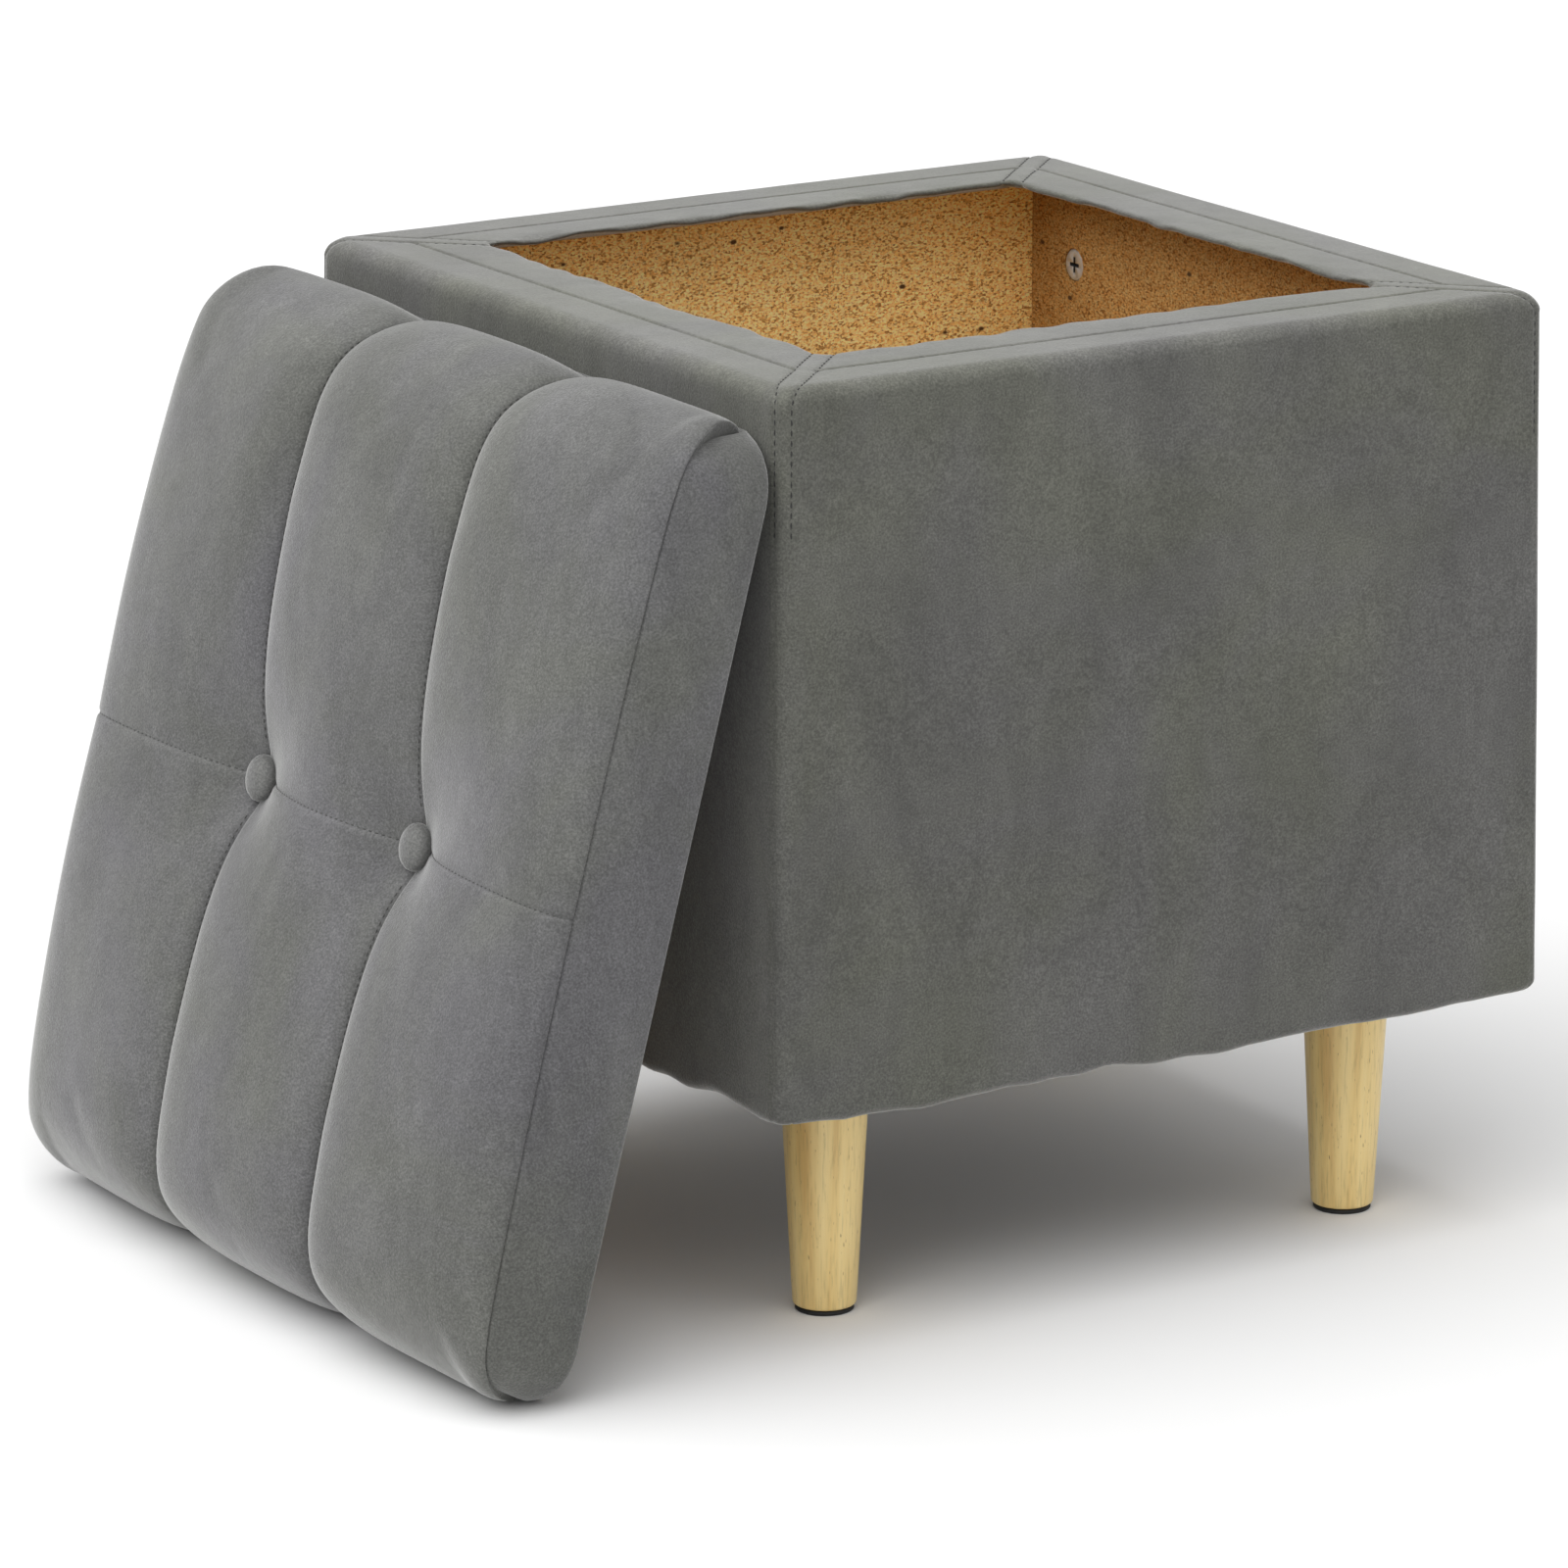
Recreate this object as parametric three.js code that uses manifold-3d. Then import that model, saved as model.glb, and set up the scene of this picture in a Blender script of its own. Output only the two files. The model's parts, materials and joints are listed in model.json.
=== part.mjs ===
// Ottoman with storage: a square upholstered box on four tapered wooden legs, with a loose
// padded lid that leans against the box's left side. Millimetres, +Z up, the front faces -Y.
import * as THREE from "three";
import { mergeVertices } from "three/addons/utils/BufferGeometryUtils.js";
import Module from "manifold-3d";

const wasm = await Module();
wasm.setup();

// Driving dimensions of the box
const BOX_SIDE = 380; // over the velvet, both ways
const LEG_HEIGHT = 105; // floor to the underside of the box
const BODY_HEIGHT = 304; // underside of the box to the top of the rim
const RIM_WIDTH = 53; // outside of the box to the edge of its mouth
const BOARD = 15; // chipboard
const RAIL = 3; // hardboard rails of the rim
const SKIN = 1.6; // velvet with its backing
const FOAM = 5.8; // padding under the velvet of the walls
const GAP = 0.3; // between pieces that touch
const CORNER = 10; // radius of the box's upright corners
const EDGE = 7; // radius of its upper and lower edges
const MOUTH_CORNER = 3;
const RIM_LIP = 5; // velvet alone, from the rails' inner edge to the mouth
const RIM_HEM = 20; // velvet turned under the rim's rails
const BASE_HEM = 18; // velvet turned under the base

// Driving dimensions of the lid
const LID_SIDE = 400; // over the velvet, both ways
const LID_THICKNESS = 70; // underside to the crown of the cushion
const LID_BOARD = 12;
const LID_LINING = 1; // the hem under the lid and the cloth inside it
const LID_HEM = 28;
const LID_CORNER = 30;
const LID_EDGE = 20; // round of the cushion's upper edge
const LID_LEAN = THREE.MathUtils.degToRad(14.9); // from upright, at rest
const LID_OFFSET_Y = 7; // how far the lid sits behind the box's middle
const LEAN_GAP = 0.8; // between the lid's upper edge and the velvet that it leans on
const PLUG_SIDE = 256; // board under the lid that locates it in the mouth
const PLUG_DEPTH = 12;
const BUTTON_SPACING = 132;
const BUTTON_RADIUS = 10;
const BUTTON_HEIGHT = 7;
const BUTTON_SHANK = 1.5;
const WASHER_RADIUS = 9;
const WASHER = 1.2;
const DIMPLE_DEPTH = 26; // how far a button pulls the cushion in
const DIMPLE_RADIUS = 40;

// Driving dimensions of the legs and fittings
const LEG_INSET = 57; // outside of the box to a leg's axis
const LEG_TOP_RADIUS = 19;
const LEG_FOOT_RADIUS = 13.5;
const GLIDE_HEIGHT = 2;
const BOLT_RADIUS = 3.9; // hanger bolt, M8
const BORE_SLACK = 0.3;
const CAM_RADIUS = 7.3;
const CAM_DEPTH = 12;
const CAM_FROM_END = 34; // cam's axis to the end of its side panel
const CAM_BELOW_RIM = 41; // upper cams, under the rim's top
const CAM_ABOVE_FLOOR = 37; // lower cams, over the base panel
const CAM_BORE_RADIUS = 3.9;
const THREAD_RADIUS = 2.5; // cam bolt, from its thread to its head
const THREAD_LENGTH = 11;
const SHANK_RADIUS = 3.5;
const SHANK_LENGTH = 24;
const NECK_RADIUS = 2;
const NECK_LENGTH = 5;
const HEAD_LENGTH = 3.5;
const NUT_RADIUS = 5; // T-nut
const NUT_FLANGE_RADIUS = 11;
const NUT_FLANGE = 1.5;
const LEG_ROUND = 2; // softened edges of the leg
const BOLT_IN_LEG = 30;

// Derived levels and half sizes of the box
const HALF = BOX_SIDE / 2;
const TOP = LEG_HEIGHT + BODY_HEIGHT;
const MOUTH = HALF - RIM_WIDTH;
const BOARD_OUT = HALF - SKIN - FOAM - 2 * GAP; // outer faces of the boards
const BOARD_IN = BOARD_OUT - BOARD;
const BASE_Z0 = LEG_HEIGHT + SKIN + GAP;
const BASE_Z1 = BASE_Z0 + BOARD;
const RAIL_Z1 = TOP - SKIN - GAP;
const RAIL_Z0 = RAIL_Z1 - RAIL;
const WALL_Z0 = BASE_Z1 + GAP;
const WALL_Z1 = RAIL_Z0 - GAP;
const RAIL_IN = MOUTH + RIM_LIP;
const CAM_LEVELS = { upper: TOP - CAM_BELOW_RIM, lower: BASE_Z1 + CAM_ABOVE_FLOOR };
const CAM_Y = BOARD_IN - GAP - CAM_FROM_END;
const WALL_MID = (BOARD_OUT + BOARD_IN) / 2;
const LEG_AT = HALF - LEG_INSET;

// Derived levels of the lid, from its underside
const LID_BOARD_Z0 = LID_LINING + GAP;
const LID_BOARD_Z1 = LID_BOARD_Z0 + LID_BOARD;
const BUTTON_FLOOR = LID_THICKNESS - DIMPLE_DEPTH;
const BUTTONS = [
  ["front", -BUTTON_SPACING / 2],
  ["back", BUTTON_SPACING / 2],
];

const SMALL = 10; // radius under which a turned piece has fewer sides
const SIDES_SMALL = 12;
const SIDES_LARGE = 24;
const OVER = 1; // how far a cutting tool runs past a face

const materials = {
  velvet: new THREE.MeshStandardMaterial({ color: 0x77756f, roughness: 0.85, metalness: 0 }),
  foam: new THREE.MeshStandardMaterial({ color: 0xe9e2cf, roughness: 0.95, metalness: 0 }),
  hardboard: new THREE.MeshStandardMaterial({ color: 0x6e4a2a, roughness: 0.7, metalness: 0 }),
  chipboard: new THREE.MeshStandardMaterial({ color: 0xb98a52, roughness: 0.8, metalness: 0 }),
  wood: new THREE.MeshStandardMaterial({ color: 0xd2b586, roughness: 0.55, metalness: 0 }),
  lining: new THREE.MeshStandardMaterial({ color: 0x1c1c1e, roughness: 0.9, metalness: 0 }),
  glide: new THREE.MeshStandardMaterial({ color: 0x161616, roughness: 0.8, metalness: 0 }),
  steel: new THREE.MeshStandardMaterial({ color: 0xb4b2ac, roughness: 0.4, metalness: 1 }),
};

// A closed geometry as a solid that can be cut and joined, and back again.
function toSolid(geometry) {
  const bare = geometry.clone();
  bare.deleteAttribute("normal");
  bare.deleteAttribute("uv");
  const merged = mergeVertices(bare, 1e-4);
  return new wasm.Manifold(
    new wasm.Mesh({
      numProp: 3,
      vertProperties: merged.attributes.position.array,
      triVerts: new Uint32Array(merged.index.array),
    }),
  );
}

function toGeometry(solid) {
  const mesh = solid.getMesh();
  const geometry = new THREE.BufferGeometry();
  geometry.setAttribute("position", new THREE.BufferAttribute(mesh.vertProperties, 3));
  geometry.setIndex(new THREE.BufferAttribute(mesh.triVerts, 1));
  geometry.computeVertexNormals();
  return geometry;
}

const subtract = (body, tools) =>
  toGeometry(tools.reduce((left, tool) => left.subtract(toSolid(tool)), toSolid(body)));

const unite = (bodies) =>
  toGeometry(bodies.map(toSolid).reduce((joined, body) => joined.add(body)));

// A square with rounded corners about the origin.
function roundedSquare(side, radius) {
  const h = side / 2;
  const c = h - radius;
  const shape = new THREE.Shape();
  shape.moveTo(h, -c);
  shape.absarc(c, c, radius, 0, Math.PI / 2);
  shape.absarc(-c, c, radius, Math.PI / 2, Math.PI);
  shape.absarc(-c, -c, radius, Math.PI, 1.5 * Math.PI);
  shape.absarc(c, -c, radius, 1.5 * Math.PI, 2 * Math.PI);
  return shape;
}

function slab(side, radius, z0, z1) {
  const options = { depth: z1 - z0, bevelEnabled: false, curveSegments: 4 };
  return new THREE.ExtrudeGeometry(roundedSquare(side, radius), options).translate(0, 0, z0);
}

// A slab whose upper and lower edges are rounded too.
function softSlab(side, radius, edge, z0, z1) {
  const options = {
    depth: z1 - z0 - 2 * edge,
    bevelThickness: edge,
    bevelSize: edge,
    bevelOffset: -edge,
    bevelSegments: 3,
    curveSegments: 4,
  };
  const geometry = new THREE.ExtrudeGeometry(roundedSquare(side, radius), options);
  return geometry.translate(0, 0, z0 + edge);
}

function block(x0, x1, y0, y1, z0, z1) {
  const geometry = new THREE.BoxGeometry(x1 - x0, y1 - y0, z1 - z0);
  return geometry.translate((x0 + x1) / 2, (y0 + y1) / 2, (z0 + z1) / 2);
}

// A piece turned about +Z from [radius, height] points, which start and end on the axis or go
// round a bore.
function turned(points) {
  const loop = points[0][0] === 0 ? points : [...points, points[0]];
  const profile = loop.map(([radius, height]) => new THREE.Vector2(radius, height));
  const widest = Math.max(...points.map(([radius]) => radius));
  const sides = widest < SMALL ? SIDES_SMALL : SIDES_LARGE;
  return new THREE.LatheGeometry(profile, sides).rotateX(Math.PI / 2);
}

function rod(radius, z0, z1) {
  return turned([[0, z0], [radius, z0], [radius, z1], [0, z1]]);
}

// Lays a turned piece down: its +Z becomes +Y or +X, or with a sense of -1 the opposite.
const alongY = (geometry, sense) => geometry.rotateX((-sense * Math.PI) / 2);
const alongX = (geometry, sense) => geometry.rotateY((sense * Math.PI) / 2);

const part = new THREE.Group();
const box = new THREE.Group();
const lid = new THREE.Group();
part.add(box, lid);

function addMesh(group, name, geometry, material) {
  const mesh = new THREE.Mesh(geometry, material);
  mesh.name = name;
  group.add(mesh);
  return mesh;
}

const SIDES = [
  ["left", -1],
  ["right", 1],
];
const ENDS = [
  ["front", -1],
  ["back", 1],
];
const CORNERS = ENDS.flatMap(([end, sy]) => SIDES.map(([side, sx]) => [end + "_" + side, sx, sy]));

// From near to far on one side of the middle, as [lower, higher].
const span = (sense, near, far) => (sense > 0 ? [near, far] : [-far, -near]);

// Front and back panels run the full width, with blind holes for the cam bolts' threads.
function addEndPanels() {
  for (const [end, sy] of ENDS) {
    const y = span(sy, BOARD_IN, BOARD_OUT);
    const panel = block(-BOARD_OUT, BOARD_OUT, y[0], y[1], WALL_Z0, WALL_Z1);
    const holes = [];
    for (const [, sx] of SIDES) {
      for (const z of Object.values(CAM_LEVELS)) {
        const hole = alongY(rod(THREAD_RADIUS + BORE_SLACK, -OVER, THREAD_LENGTH + GAP), sy);
        holes.push(hole.translate(sx * WALL_MID, sy * BOARD_IN, z));
      }
    }
    addMesh(box, end + "_panel", subtract(panel, holes), materials.chipboard);
  }
}

// Left and right panels stand between them, with a pocket and a bore for each cam.
function addSidePanels() {
  for (const [side, sx] of SIDES) {
    const x = span(sx, BOARD_IN, BOARD_OUT);
    const end = BOARD_IN - GAP;
    const panel = block(x[0], x[1], -end, end, WALL_Z0, WALL_Z1);
    const holes = [];
    for (const [, sy] of ENDS) {
      for (const z of Object.values(CAM_LEVELS)) {
        const pocket = alongX(rod(CAM_RADIUS + BORE_SLACK, -OVER, CAM_DEPTH + 2 * GAP), sx);
        holes.push(pocket.translate(sx * BOARD_IN, sy * CAM_Y, z));
        const bore = alongY(rod(CAM_BORE_RADIUS, 0, CAM_FROM_END + OVER), sy);
        holes.push(bore.translate(sx * WALL_MID, sy * CAM_Y, z));
      }
    }
    addMesh(box, side + "_panel", subtract(panel, holes), materials.chipboard);
  }
}

// The cam bolt: a thread in the end panel, a shank in the side panel and a head in the cam.
function camBolt() {
  const neck = SHANK_LENGTH + NECK_LENGTH;
  return turned([
    [0, -THREAD_LENGTH],
    [THREAD_RADIUS, -THREAD_LENGTH],
    [THREAD_RADIUS, GAP],
    [SHANK_RADIUS, GAP],
    [SHANK_RADIUS, SHANK_LENGTH],
    [NECK_RADIUS, SHANK_LENGTH],
    [NECK_RADIUS, neck],
    [SHANK_RADIUS, neck],
    [SHANK_RADIUS, neck + HEAD_LENGTH],
    [0, neck + HEAD_LENGTH],
  ]);
}

// The cam: a drum with a mouth for the bolt's head towards the corner, and a cross slot.
function cam(sx, sy) {
  const drum = alongX(rod(CAM_RADIUS, GAP, CAM_DEPTH + GAP), sx);
  const mouth = alongY(rod(CAM_BORE_RADIUS, 0, CAM_RADIUS + OVER), sy);
  mouth.translate(sx * (BOARD / 2), 0, 0);
  const slotLength = 8;
  const slotWidth = 1.4;
  const slotDepth = 1.6;
  const slots = [
    new THREE.BoxGeometry(2 * slotDepth, slotLength, slotWidth),
    new THREE.BoxGeometry(2 * slotDepth, slotWidth, slotLength),
  ];
  for (const slot of slots) slot.translate(sx * GAP, 0, 0);
  return subtract(drum, [mouth, ...slots]);
}

function addCamFittings() {
  for (const [corner, sx, sy] of CORNERS) {
    for (const [level, z] of Object.entries(CAM_LEVELS)) {
      const drum = addMesh(box, "cam_" + corner + "_" + level, cam(sx, sy), materials.steel);
      drum.position.set(sx * BOARD_IN, sy * CAM_Y, z);
      const bolt = alongY(camBolt(), -sy);
      const boltMesh = addMesh(box, "cam_bolt_" + corner + "_" + level, bolt, materials.steel);
      boltMesh.position.set(sx * WALL_MID, sy * BOARD_IN, z);
    }
  }
}

// The base panel carries the walls, and the T-nuts that the legs screw into.
function addBase() {
  const panel = block(-BOARD_OUT, BOARD_OUT, -BOARD_OUT, BOARD_OUT, BASE_Z0, BASE_Z1);
  const holes = CORNERS.map(([, sx, sy]) => {
    const hole = rod(NUT_RADIUS + BORE_SLACK, BASE_Z0 - OVER, BASE_Z1 + OVER);
    return hole.translate(sx * LEG_AT, sy * LEG_AT, 0);
  });
  addMesh(box, "base_panel", subtract(panel, holes), materials.chipboard);
}

// Four thin rails lie flat on the walls and make the rim's overhang.
function addRimRails() {
  for (const [end, sy] of ENDS) {
    const y = span(sy, RAIL_IN, BOARD_OUT);
    const rail = block(-BOARD_OUT, BOARD_OUT, y[0], y[1], RAIL_Z0, RAIL_Z1);
    addMesh(box, "rim_rail_" + end, rail, materials.hardboard);
  }
  for (const [side, sx] of SIDES) {
    const x = span(sx, RAIL_IN, BOARD_OUT);
    const rail = block(x[0], x[1], GAP - RAIL_IN, RAIL_IN - GAP, RAIL_Z0, RAIL_Z1);
    addMesh(box, "rim_rail_" + side, rail, materials.hardboard);
  }
}

// Padding: a thin sheet on each wall.
function addBoxPadding() {
  const near = BOARD_OUT + GAP;
  const far = near + FOAM;
  const z0 = LEG_HEIGHT + EDGE + OVER;
  const z1 = TOP - EDGE - OVER;
  for (const [end, sy] of ENDS) {
    const y = span(sy, near, far);
    addMesh(box, "foam_" + end, block(-BOARD_OUT, BOARD_OUT, y[0], y[1], z0, z1), materials.foam);
  }
  for (const [side, sx] of SIDES) {
    const x = span(sx, near, far);
    addMesh(box, "foam_" + side, block(x[0], x[1], -BOARD_OUT, BOARD_OUT, z0, z1), materials.foam);
  }
}

// The velvet cover: walls and rim in one, turned down the mouth and under the rails, with a
// hem under the base.
function addBoxCover() {
  const outer = softSlab(BOX_SIDE, CORNER, EDGE, LEG_HEIGHT, TOP);
  const inside = softSlab(
    BOX_SIDE - 2 * SKIN,
    CORNER - SKIN,
    EDGE - SKIN,
    LEG_HEIGHT + SKIN,
    TOP - SKIN,
  );
  const mouth = slab(2 * MOUTH, MOUTH_CORNER, RAIL_Z0 - 2 * SKIN, TOP + OVER);
  const below = slab(BOX_SIDE - 2 * (SKIN + BASE_HEM), CORNER, LEG_HEIGHT - OVER, BASE_Z0);
  const shell = subtract(outer, [inside, mouth, below]);
  const hemZ = RAIL_Z0 - GAP - SKIN;
  const wrap = slab(2 * (MOUTH + SKIN), MOUTH_CORNER + SKIN, hemZ, TOP - SKIN / 2);
  const facing = subtract(wrap, [mouth]);
  const hem = subtract(slab(2 * (MOUTH + RIM_HEM), MOUTH_CORNER, hemZ, hemZ + SKIN), [mouth]);
  addMesh(box, "box_cover", unite([shell, facing, hem]), materials.velvet);
}

function addBaseLining() {
  const side = BOX_SIDE - 2 * (SKIN + BASE_HEM) - 2 * GAP;
  const sheet = slab(side, CORNER, LEG_HEIGHT + GAP, LEG_HEIGHT + SKIN);
  const holes = CORNERS.map(([, sx, sy]) => {
    const hole = rod(BOLT_RADIUS + BORE_SLACK, LEG_HEIGHT - OVER, BASE_Z0 + OVER);
    return hole.translate(sx * LEG_AT, sy * LEG_AT, 0);
  });
  addMesh(box, "base_lining", subtract(sheet, holes), materials.lining);
}

// A leg with its glide, hanger bolt and T-nut.
function legBody() {
  const foot = GLIDE_HEIGHT + GAP;
  const holeRadius = BOLT_RADIUS + BORE_SLACK;
  return turned([
    [0, foot],
    [LEG_FOOT_RADIUS - LEG_ROUND, foot],
    [LEG_FOOT_RADIUS, foot + LEG_ROUND],
    [LEG_TOP_RADIUS, LEG_HEIGHT - LEG_ROUND],
    [LEG_TOP_RADIUS - LEG_ROUND / 2, LEG_HEIGHT],
    [holeRadius, LEG_HEIGHT],
    [holeRadius, LEG_HEIGHT - BOLT_IN_LEG - GAP],
    [0, LEG_HEIGHT - BOLT_IN_LEG - GAP],
  ]);
}

function tNut() {
  const bore = BOLT_RADIUS + BORE_SLACK;
  const seat = BASE_Z1 + GAP;
  return turned([
    [bore, BASE_Z0 + 2 * SKIN],
    [NUT_RADIUS, BASE_Z0 + 2 * SKIN],
    [NUT_RADIUS, seat],
    [NUT_FLANGE_RADIUS, seat],
    [NUT_FLANGE_RADIUS, seat + NUT_FLANGE],
    [bore, seat + NUT_FLANGE],
  ]);
}

function addLegs() {
  for (const [corner, sx, sy] of CORNERS) {
    const pieces = [
      ["leg_", legBody(), materials.wood],
      ["leg_glide_", rod(LEG_FOOT_RADIUS - 1, 0, GLIDE_HEIGHT), materials.glide],
      ["hanger_bolt_", rod(BOLT_RADIUS, LEG_HEIGHT - BOLT_IN_LEG, BASE_Z1), materials.steel],
      ["t_nut_", tNut(), materials.steel],
    ];
    for (const [prefix, geometry, material] of pieces) {
      const mesh = addMesh(box, prefix + corner, geometry, material);
      mesh.position.set(sx * LEG_AT, sy * LEG_AT, 0);
    }
  }
}

// The lid, drawn lying flat with its underside at z = 0 and its middle at the origin.
// The hollow that a button pulls into the cushion, wider by the amount given.
function dimples(grow) {
  const flat = BUTTON_RADIUS + 2 + grow;
  return BUTTONS.map(([, y]) => {
    const cone = turned([
      [0, BUTTON_FLOOR - grow],
      [flat, BUTTON_FLOOR - grow],
      [DIMPLE_RADIUS + grow, LID_THICKNESS + OVER],
      [0, LID_THICKNESS + OVER],
    ]);
    return cone.translate(0, y, 0);
  });
}

const shankHoles = (z0, z1) =>
  BUTTONS.map(([, y]) => rod(BUTTON_SHANK + BORE_SLACK, z0, z1).translate(0, y, 0));

// The cushion's outside, taken in by the amount given and cut flat at z0.
function cushion(inset, z0) {
  const side = LID_SIDE - 2 * inset;
  const edge = LID_EDGE - inset;
  const whole = softSlab(side, LID_CORNER - inset, edge, -2 * LID_EDGE, LID_THICKNESS - inset);
  return subtract(whole, [slab(LID_SIDE + 2 * OVER, LID_CORNER / 2, -3 * LID_EDGE, z0)]);
}

function addLidCover() {
  const hollow = subtract(cushion(SKIN, LID_LINING), dimples(SKIN));
  const mouth = slab(LID_SIDE - 2 * LID_HEM, LID_CORNER, -OVER, LID_LINING + OVER);
  const shank = shankHoles(LID_BOARD_Z1, BUTTON_FLOOR + OVER);
  const cover = subtract(cushion(0, 0), [...dimples(0), hollow, mouth, ...shank]);
  addMesh(lid, "lid_cover", cover, materials.velvet);
}

function addLidFoam() {
  const inset = SKIN + GAP;
  const body = cushion(inset, LID_BOARD_Z1 + GAP);
  const tools = [...dimples(inset), ...shankHoles(LID_LINING, LID_THICKNESS)];
  addMesh(lid, "lid_foam", subtract(body, tools), materials.foam);
}

function addLidBoards() {
  const side = LID_SIDE - 2 * (SKIN + GAP);
  const board = slab(side, LID_CORNER - SKIN, LID_BOARD_Z0, LID_BOARD_Z1);
  const pockets = BUTTONS.map(([, y]) =>
    rod(WASHER_RADIUS + BORE_SLACK, 0, LID_LINING + 2 * GAP + WASHER).translate(0, y, 0),
  );
  const holes = shankHoles(0, LID_BOARD_Z1 + OVER);
  addMesh(lid, "lid_board", subtract(board, [...pockets, ...holes]), materials.chipboard);
  const plug = slab(PLUG_SIDE, CORNER, -GAP - PLUG_DEPTH, -GAP);
  addMesh(lid, "lid_locating_board", plug, materials.chipboard);
}

function addLidLining() {
  const sheet = slab(LID_SIDE - 2 * (LID_HEM + GAP), LID_CORNER, 0, LID_LINING);
  addMesh(lid, "lid_lining", sheet, materials.lining);
}

// A covered button: a dome on a shank that runs through the cushion, held by a washer.
function addButtons() {
  const foot = BUTTON_FLOOR + GAP;
  const tail = LID_LINING + 2 * GAP;
  for (const [name, y] of BUTTONS) {
    const dome = turned([
      [0, tail],
      [BUTTON_SHANK, tail],
      [BUTTON_SHANK, foot],
      [BUTTON_RADIUS, foot],
      [BUTTON_RADIUS, foot + BUTTON_HEIGHT * 0.35],
      [BUTTON_RADIUS * 0.82, foot + BUTTON_HEIGHT * 0.75],
      [BUTTON_RADIUS * 0.45, foot + BUTTON_HEIGHT * 0.95],
      [0, foot + BUTTON_HEIGHT],
    ]);
    addMesh(lid, "lid_button_" + name, dome.translate(0, y, 0), materials.velvet);
    const bore = BUTTON_SHANK + BORE_SLACK;
    const ring = turned([
      [bore, tail],
      [WASHER_RADIUS, tail],
      [WASHER_RADIUS, tail + WASHER - GAP],
      [bore, tail + WASHER - GAP],
    ]);
    addMesh(lid, "lid_button_washer_" + name, ring.translate(0, y, 0), materials.steel);
  }
}

addEndPanels();
addSidePanels();
addBase();
addRimRails();
addBoxPadding();
addBoxCover();
addBaseLining();
addCamFittings();
addLegs();
addLidCover();
addLidFoam();
addLidBoards();
addLidLining();
addButtons();

// The lid leans: its lower edge is on the floor and its upper edge is against the left side.
const halfLid = LID_SIDE / 2;
lid.rotation.y = LID_LEAN - Math.PI / 2;
lid.position.set(
  -HALF - LEAN_GAP - halfLid * Math.sin(LID_LEAN),
  LID_OFFSET_Y,
  halfLid * Math.cos(LID_LEAN),
);

// The origin is on the floor, under the middle of the box and the leaning lid together.
const extent = new THREE.Box3().setFromObject(part, true);
const middle = extent.getCenter(new THREE.Vector3());
for (const group of [box, lid]) {
  group.position.x -= middle.x;
  group.position.y -= middle.y;
}

export default part;
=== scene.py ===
"""The looks of the ottoman with storage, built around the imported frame.

Metres, +Z up, the front faces -Y. The lid is made in its own coordinates: s up its slope at
rest, y across it, and n out of its padded face, from the middle of its underside.
"""

import json
import math

import bpy
import numpy as np
from mathutils import Matrix, Vector, noise
from mathutils.bvhtree import BVHTree

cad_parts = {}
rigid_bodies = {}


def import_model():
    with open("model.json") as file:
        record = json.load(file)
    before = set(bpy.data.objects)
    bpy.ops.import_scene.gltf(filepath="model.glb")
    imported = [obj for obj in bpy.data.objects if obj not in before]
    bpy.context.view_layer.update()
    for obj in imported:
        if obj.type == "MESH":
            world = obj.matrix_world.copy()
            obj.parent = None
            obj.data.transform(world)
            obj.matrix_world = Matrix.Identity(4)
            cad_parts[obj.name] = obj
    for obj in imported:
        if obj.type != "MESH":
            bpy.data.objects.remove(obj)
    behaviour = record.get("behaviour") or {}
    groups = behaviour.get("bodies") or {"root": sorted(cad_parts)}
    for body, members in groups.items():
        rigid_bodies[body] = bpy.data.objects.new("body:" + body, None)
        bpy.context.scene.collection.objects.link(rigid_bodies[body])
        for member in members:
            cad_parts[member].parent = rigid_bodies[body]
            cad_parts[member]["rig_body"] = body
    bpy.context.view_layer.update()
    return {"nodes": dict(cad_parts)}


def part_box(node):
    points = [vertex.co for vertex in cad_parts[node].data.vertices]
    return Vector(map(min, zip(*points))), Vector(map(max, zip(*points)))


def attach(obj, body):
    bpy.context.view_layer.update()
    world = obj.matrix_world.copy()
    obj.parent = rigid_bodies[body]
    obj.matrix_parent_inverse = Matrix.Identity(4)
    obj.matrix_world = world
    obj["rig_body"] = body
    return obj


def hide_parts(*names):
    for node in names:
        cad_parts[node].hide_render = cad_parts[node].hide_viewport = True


# Camera
VIEW_AZIMUTH = math.radians(-31.96)
VIEW_ELEVATION = math.radians(14.75)
VIEW_DISTANCE = 3.72
VIEW_TARGET = Vector((0.0131, -0.007, 0.1884))
LENS_MM = 198.6
SENSOR_MM = 36.0

# Box cover
COVER_SKIN = 0.0009
TOP_ROUND = 0.009
BASE_ROUND = 0.006
CORNER_ROUND = 0.0075
MOUTH_ROUND = 0.004
BASE_HEM = 0.018
RIM_WIDTH = 0.053
LIP = (  # the edge of the mouth, from the rim down: mm out from the mouth, mm under the rim
    (1.4, 0.1),
    (0.6, 0.4),
    (0.1, 1.0),
    (0.1, 1.6),
    (0.6, 2.2),
    (1.6, 2.6),
    (3.5, 3.1),
    (7.5, 4.3),
    (12.0, 5.5),
    (16.5, 6.7),
)
CORNER_STEPS = (0, 1.4, 2.8, 3.8, 4.8, 6.5, 9, 13, 19, 28)  # the grid, mm from a corner
RIM_SEAM = 0.028  # from the outside of the box to the seam round the rim
STITCH_ROW = 0.0038  # from each corner's middle to the rows of stitches beside it
STITCH_DROP = 0.062  # how far the stitches run down each upright corner
CREASE = 0.0008  # half the width of a sewn line
RIM_SEAM_DEPTH = 0.0011
RIM_PADDING = 0.0005  # the rim between its seam and the mouth
STRIP_PADDING = 0.0003  # the strip between a corner's two stitch rows
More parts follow.
